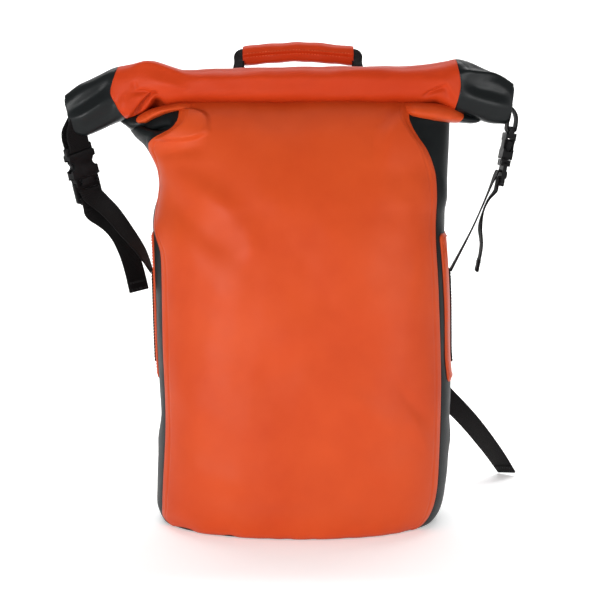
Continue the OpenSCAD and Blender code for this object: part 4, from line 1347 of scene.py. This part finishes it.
for side, d in (("left", -1), ("right", 1)):
    body = f"{side}_shoulder_strap"
    line, acr = mirror(PAD_LINE, d), [(a[0], a[1], d * a[2]) for a in PAD_ACROSS]
    steps = 16
    P, _, W, UP = path_frames(line, acr, steps)
    wide = spline([[k] for k in PAD_WIDE], steps)[:, 0] * PAD_W / 2
    wide = wide * (1 - .10 * smoothstep(np.arange(len(P)), len(P) - 8, len(P) - 1))
    count = 60
    a = np.linspace(0, 2 * math.pi, count + 1)[:-1]
    run = run_length(P)
    ends = np.sqrt(np.clip(1 - (1 - np.clip(np.minimum(run, run[-1] - run) / .008, 0, 1)) ** 2, .05, 1))
    c, s = np.cos(a), np.sin(a)
    sq = squircle(c, s, 3.2)
    us = wide[:, None] * (c * sq)[None]
    thin = .25 + .75 * np.sqrt(np.clip(1 - np.abs(c * sq) ** 4, 0, 1))
    hs = (PAD_T / 2) * ends[:, None] * (np.sign(s) * np.abs(s) ** .8 * sq * thin)[None]
    # quilted grooves across the pad
    for k in range(1, 6):
        groove = np.exp(-((run - run[-1] * (.12 + .15 * k)) / .0035) ** 2)
        hs = hs * (1 - .32 * groove[:, None])
    verts = P[:, None] + us[..., None] * W[:, None] + hs[..., None] * UP[:, None]
    uv = np.stack([us + np.where(s[None] > 0, 0, .2), np.broadcast_to(run[:, None], us.shape)], axis=2)
    faces = (grid_faces(len(P), count, wrap=True)
             + [tuple(range(count)), tuple(range((len(P) - 1) * count, len(P) * count))])
    ob = add_object(f"shoulder_pad_{side}_cushion", verts.reshape(-1, 3), faces, MESH, uv.reshape(-1, 2))
    tidy_normals(ob)
    place(ob, body, "black_padding", f"shoulder_pad_{side}")
    # binding tape round the pad's edge
    e1 = P + W * (wide + .0006)[:, None]
    e2 = P - W * (wide + .0006)[:, None]
    foot_line = [P[-1] + W[-1] * wide[-1] * k for k in np.linspace(.9, -.9, 9)]
    top_line = [P[0] - W[0] * wide[0] * k for k in np.linspace(.9, -.9, 9)]
    loop_pts = list(e1) + foot_line + list(e2[::-1]) + top_line
    loop_up = list(UP) + [UP[-1]] * 9 + list(UP[::-1]) + [UP[0]] * 9
    ob = piping(f"shoulder_pad_{side}_binding", loop_pts, loop_up, .0019, WEBBING)
    place(ob, body, "black_webbing")
    # webbing on the outside of the pad, sewn down at each groove
    lift = PAD_T / 2 + WEB_T / 2 + .0003
    wl = [PAD_LINE[k] for k in range(2, 7)] + [(.096, .117, .208)]
    wa = [PAD_ACROSS[k] for k in range(2, 7)] + [(1, 0, .2)]
    wl, wa = mirror(wl, d), [(q[0], q[1], d * q[2]) for q in wa]
    ob = ribbon(f"pad_webbing_{side}_strap", wl, wa, lift=-lift, steps=12)
    tidy_normals(ob)
    place(ob, body, "black_webbing", f"pad_webbing_{side}")
    total = run_length(path_frames(wl, wa, 12)[0])[-1]
    lines = box_x(.0100, .004, .022)
    for k in range(1, 4):
        lines += bar_tack(.0100, .022 + (total - .040) * k / 4, 2)
    st = ribbon_stitches(wl, wa, lines, lift=-lift - WEB_T / 2 - .0001, sides=(1,))
    ob = join_mesh(f"pad_webbing_{side}_stitching", st, THREAD)
    place(ob, body, "black_webbing")
    # ladder lock
    ob = from_cad(f"ladder_lock_{side}_body", f"ladder_lock_{side}", ACETAL, .0006, 3)
    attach(ob, body)
    # corner tab on the bag
    zt = np.linspace(.0195, .0605, 26)
    lo_a, hi_a = math.radians(34), math.radians(51)
    ta = np.linspace(lo_a, hi_a, 30)[None] + 0 * zt[:, None]
    if d < 0:
        ta = math.pi - ta
    tp = skin(zt[:, None] + 0 * ta, ta, .0022)
    ob = flat_skin(f"corner_tab_{side}_cloth", tp, BLACK, .0016, flip=d < 0, rim=.001)
    tidy_normals(ob)
    place(ob, "root", "black_tarpaulin", f"corner_tab_{side}")
    tn = grid_normals(tp) * (-1 if d < 0 else 1)
    ring = [(min(max(i, 2), 23), min(max(j, 2), 27)) for i, j in border(tp)]
    ob = join_mesh(f"corner_tab_{side}_stitching",
                   stitch_line([tp[i] + tn[i] * .0002 for i in ring], [tn[i] for i in ring]), THREAD)
    place(ob, "root", "black_webbing")
    # webbing from the tab up to the ladder lock
    turn = math.radians(43) if d > 0 else math.pi - math.radians(43)
    lw = ([tuple(skin(.032, turn, .0046)), tuple(skin(.056, turn, .0048))]
          + mirror([(.112, .112, .110), (.104, .117, .150), (.1015, .120, .1815)], d))
    la = [(1, -.75 * d, 0), (1, -.75 * d, 0), (1, -.35 * d, .1 * d), (1, -.1 * d, .15 * d), (1, 0, .2 * d)]
    ob = ribbon(f"lower_webbing_{side}_strap", lw, la, steps=14)
    tidy_normals(ob)
    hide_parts(f"lower_webbing_{side}")
    tuple(lw[1])
    tuple(lw[-1])
    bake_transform(ob)
    st = ribbon_stitches(lw, la, box_x(.0098, .002, .020), sides=(1, -1), steps=14)
    ob = join_mesh(f"lower_webbing_{side}_stitching", st, THREAD)
    place(ob, "root", "black_webbing")

tail("lower_tail_right",
     [(.101, .127, .184), (.107, .133, .167), (.130, .131, .137), (.160, .128, .108), (.192, .140, .074),
      (.222, .162, .035), (.243, .182, .0035)],
     [(1, 0, .2), (1, 0, .3), (.8, -.1, .6), (.75, -.3, .6), (.75, -.45, .5), (.78, -.55, .3), (.8, -.6, .1)],
     "right_lower_tail", steps=14)
tail("lower_tail_left",
     [(-.101, .127, .184), (-.104, .132, .165), (-.108, .138, .130), (-.111, .142, .090), (-.113, .146, .050),
      (-.115, .150, .014)],
     [(1, 0, .05)] * 6, "left_lower_tail", steps=12)
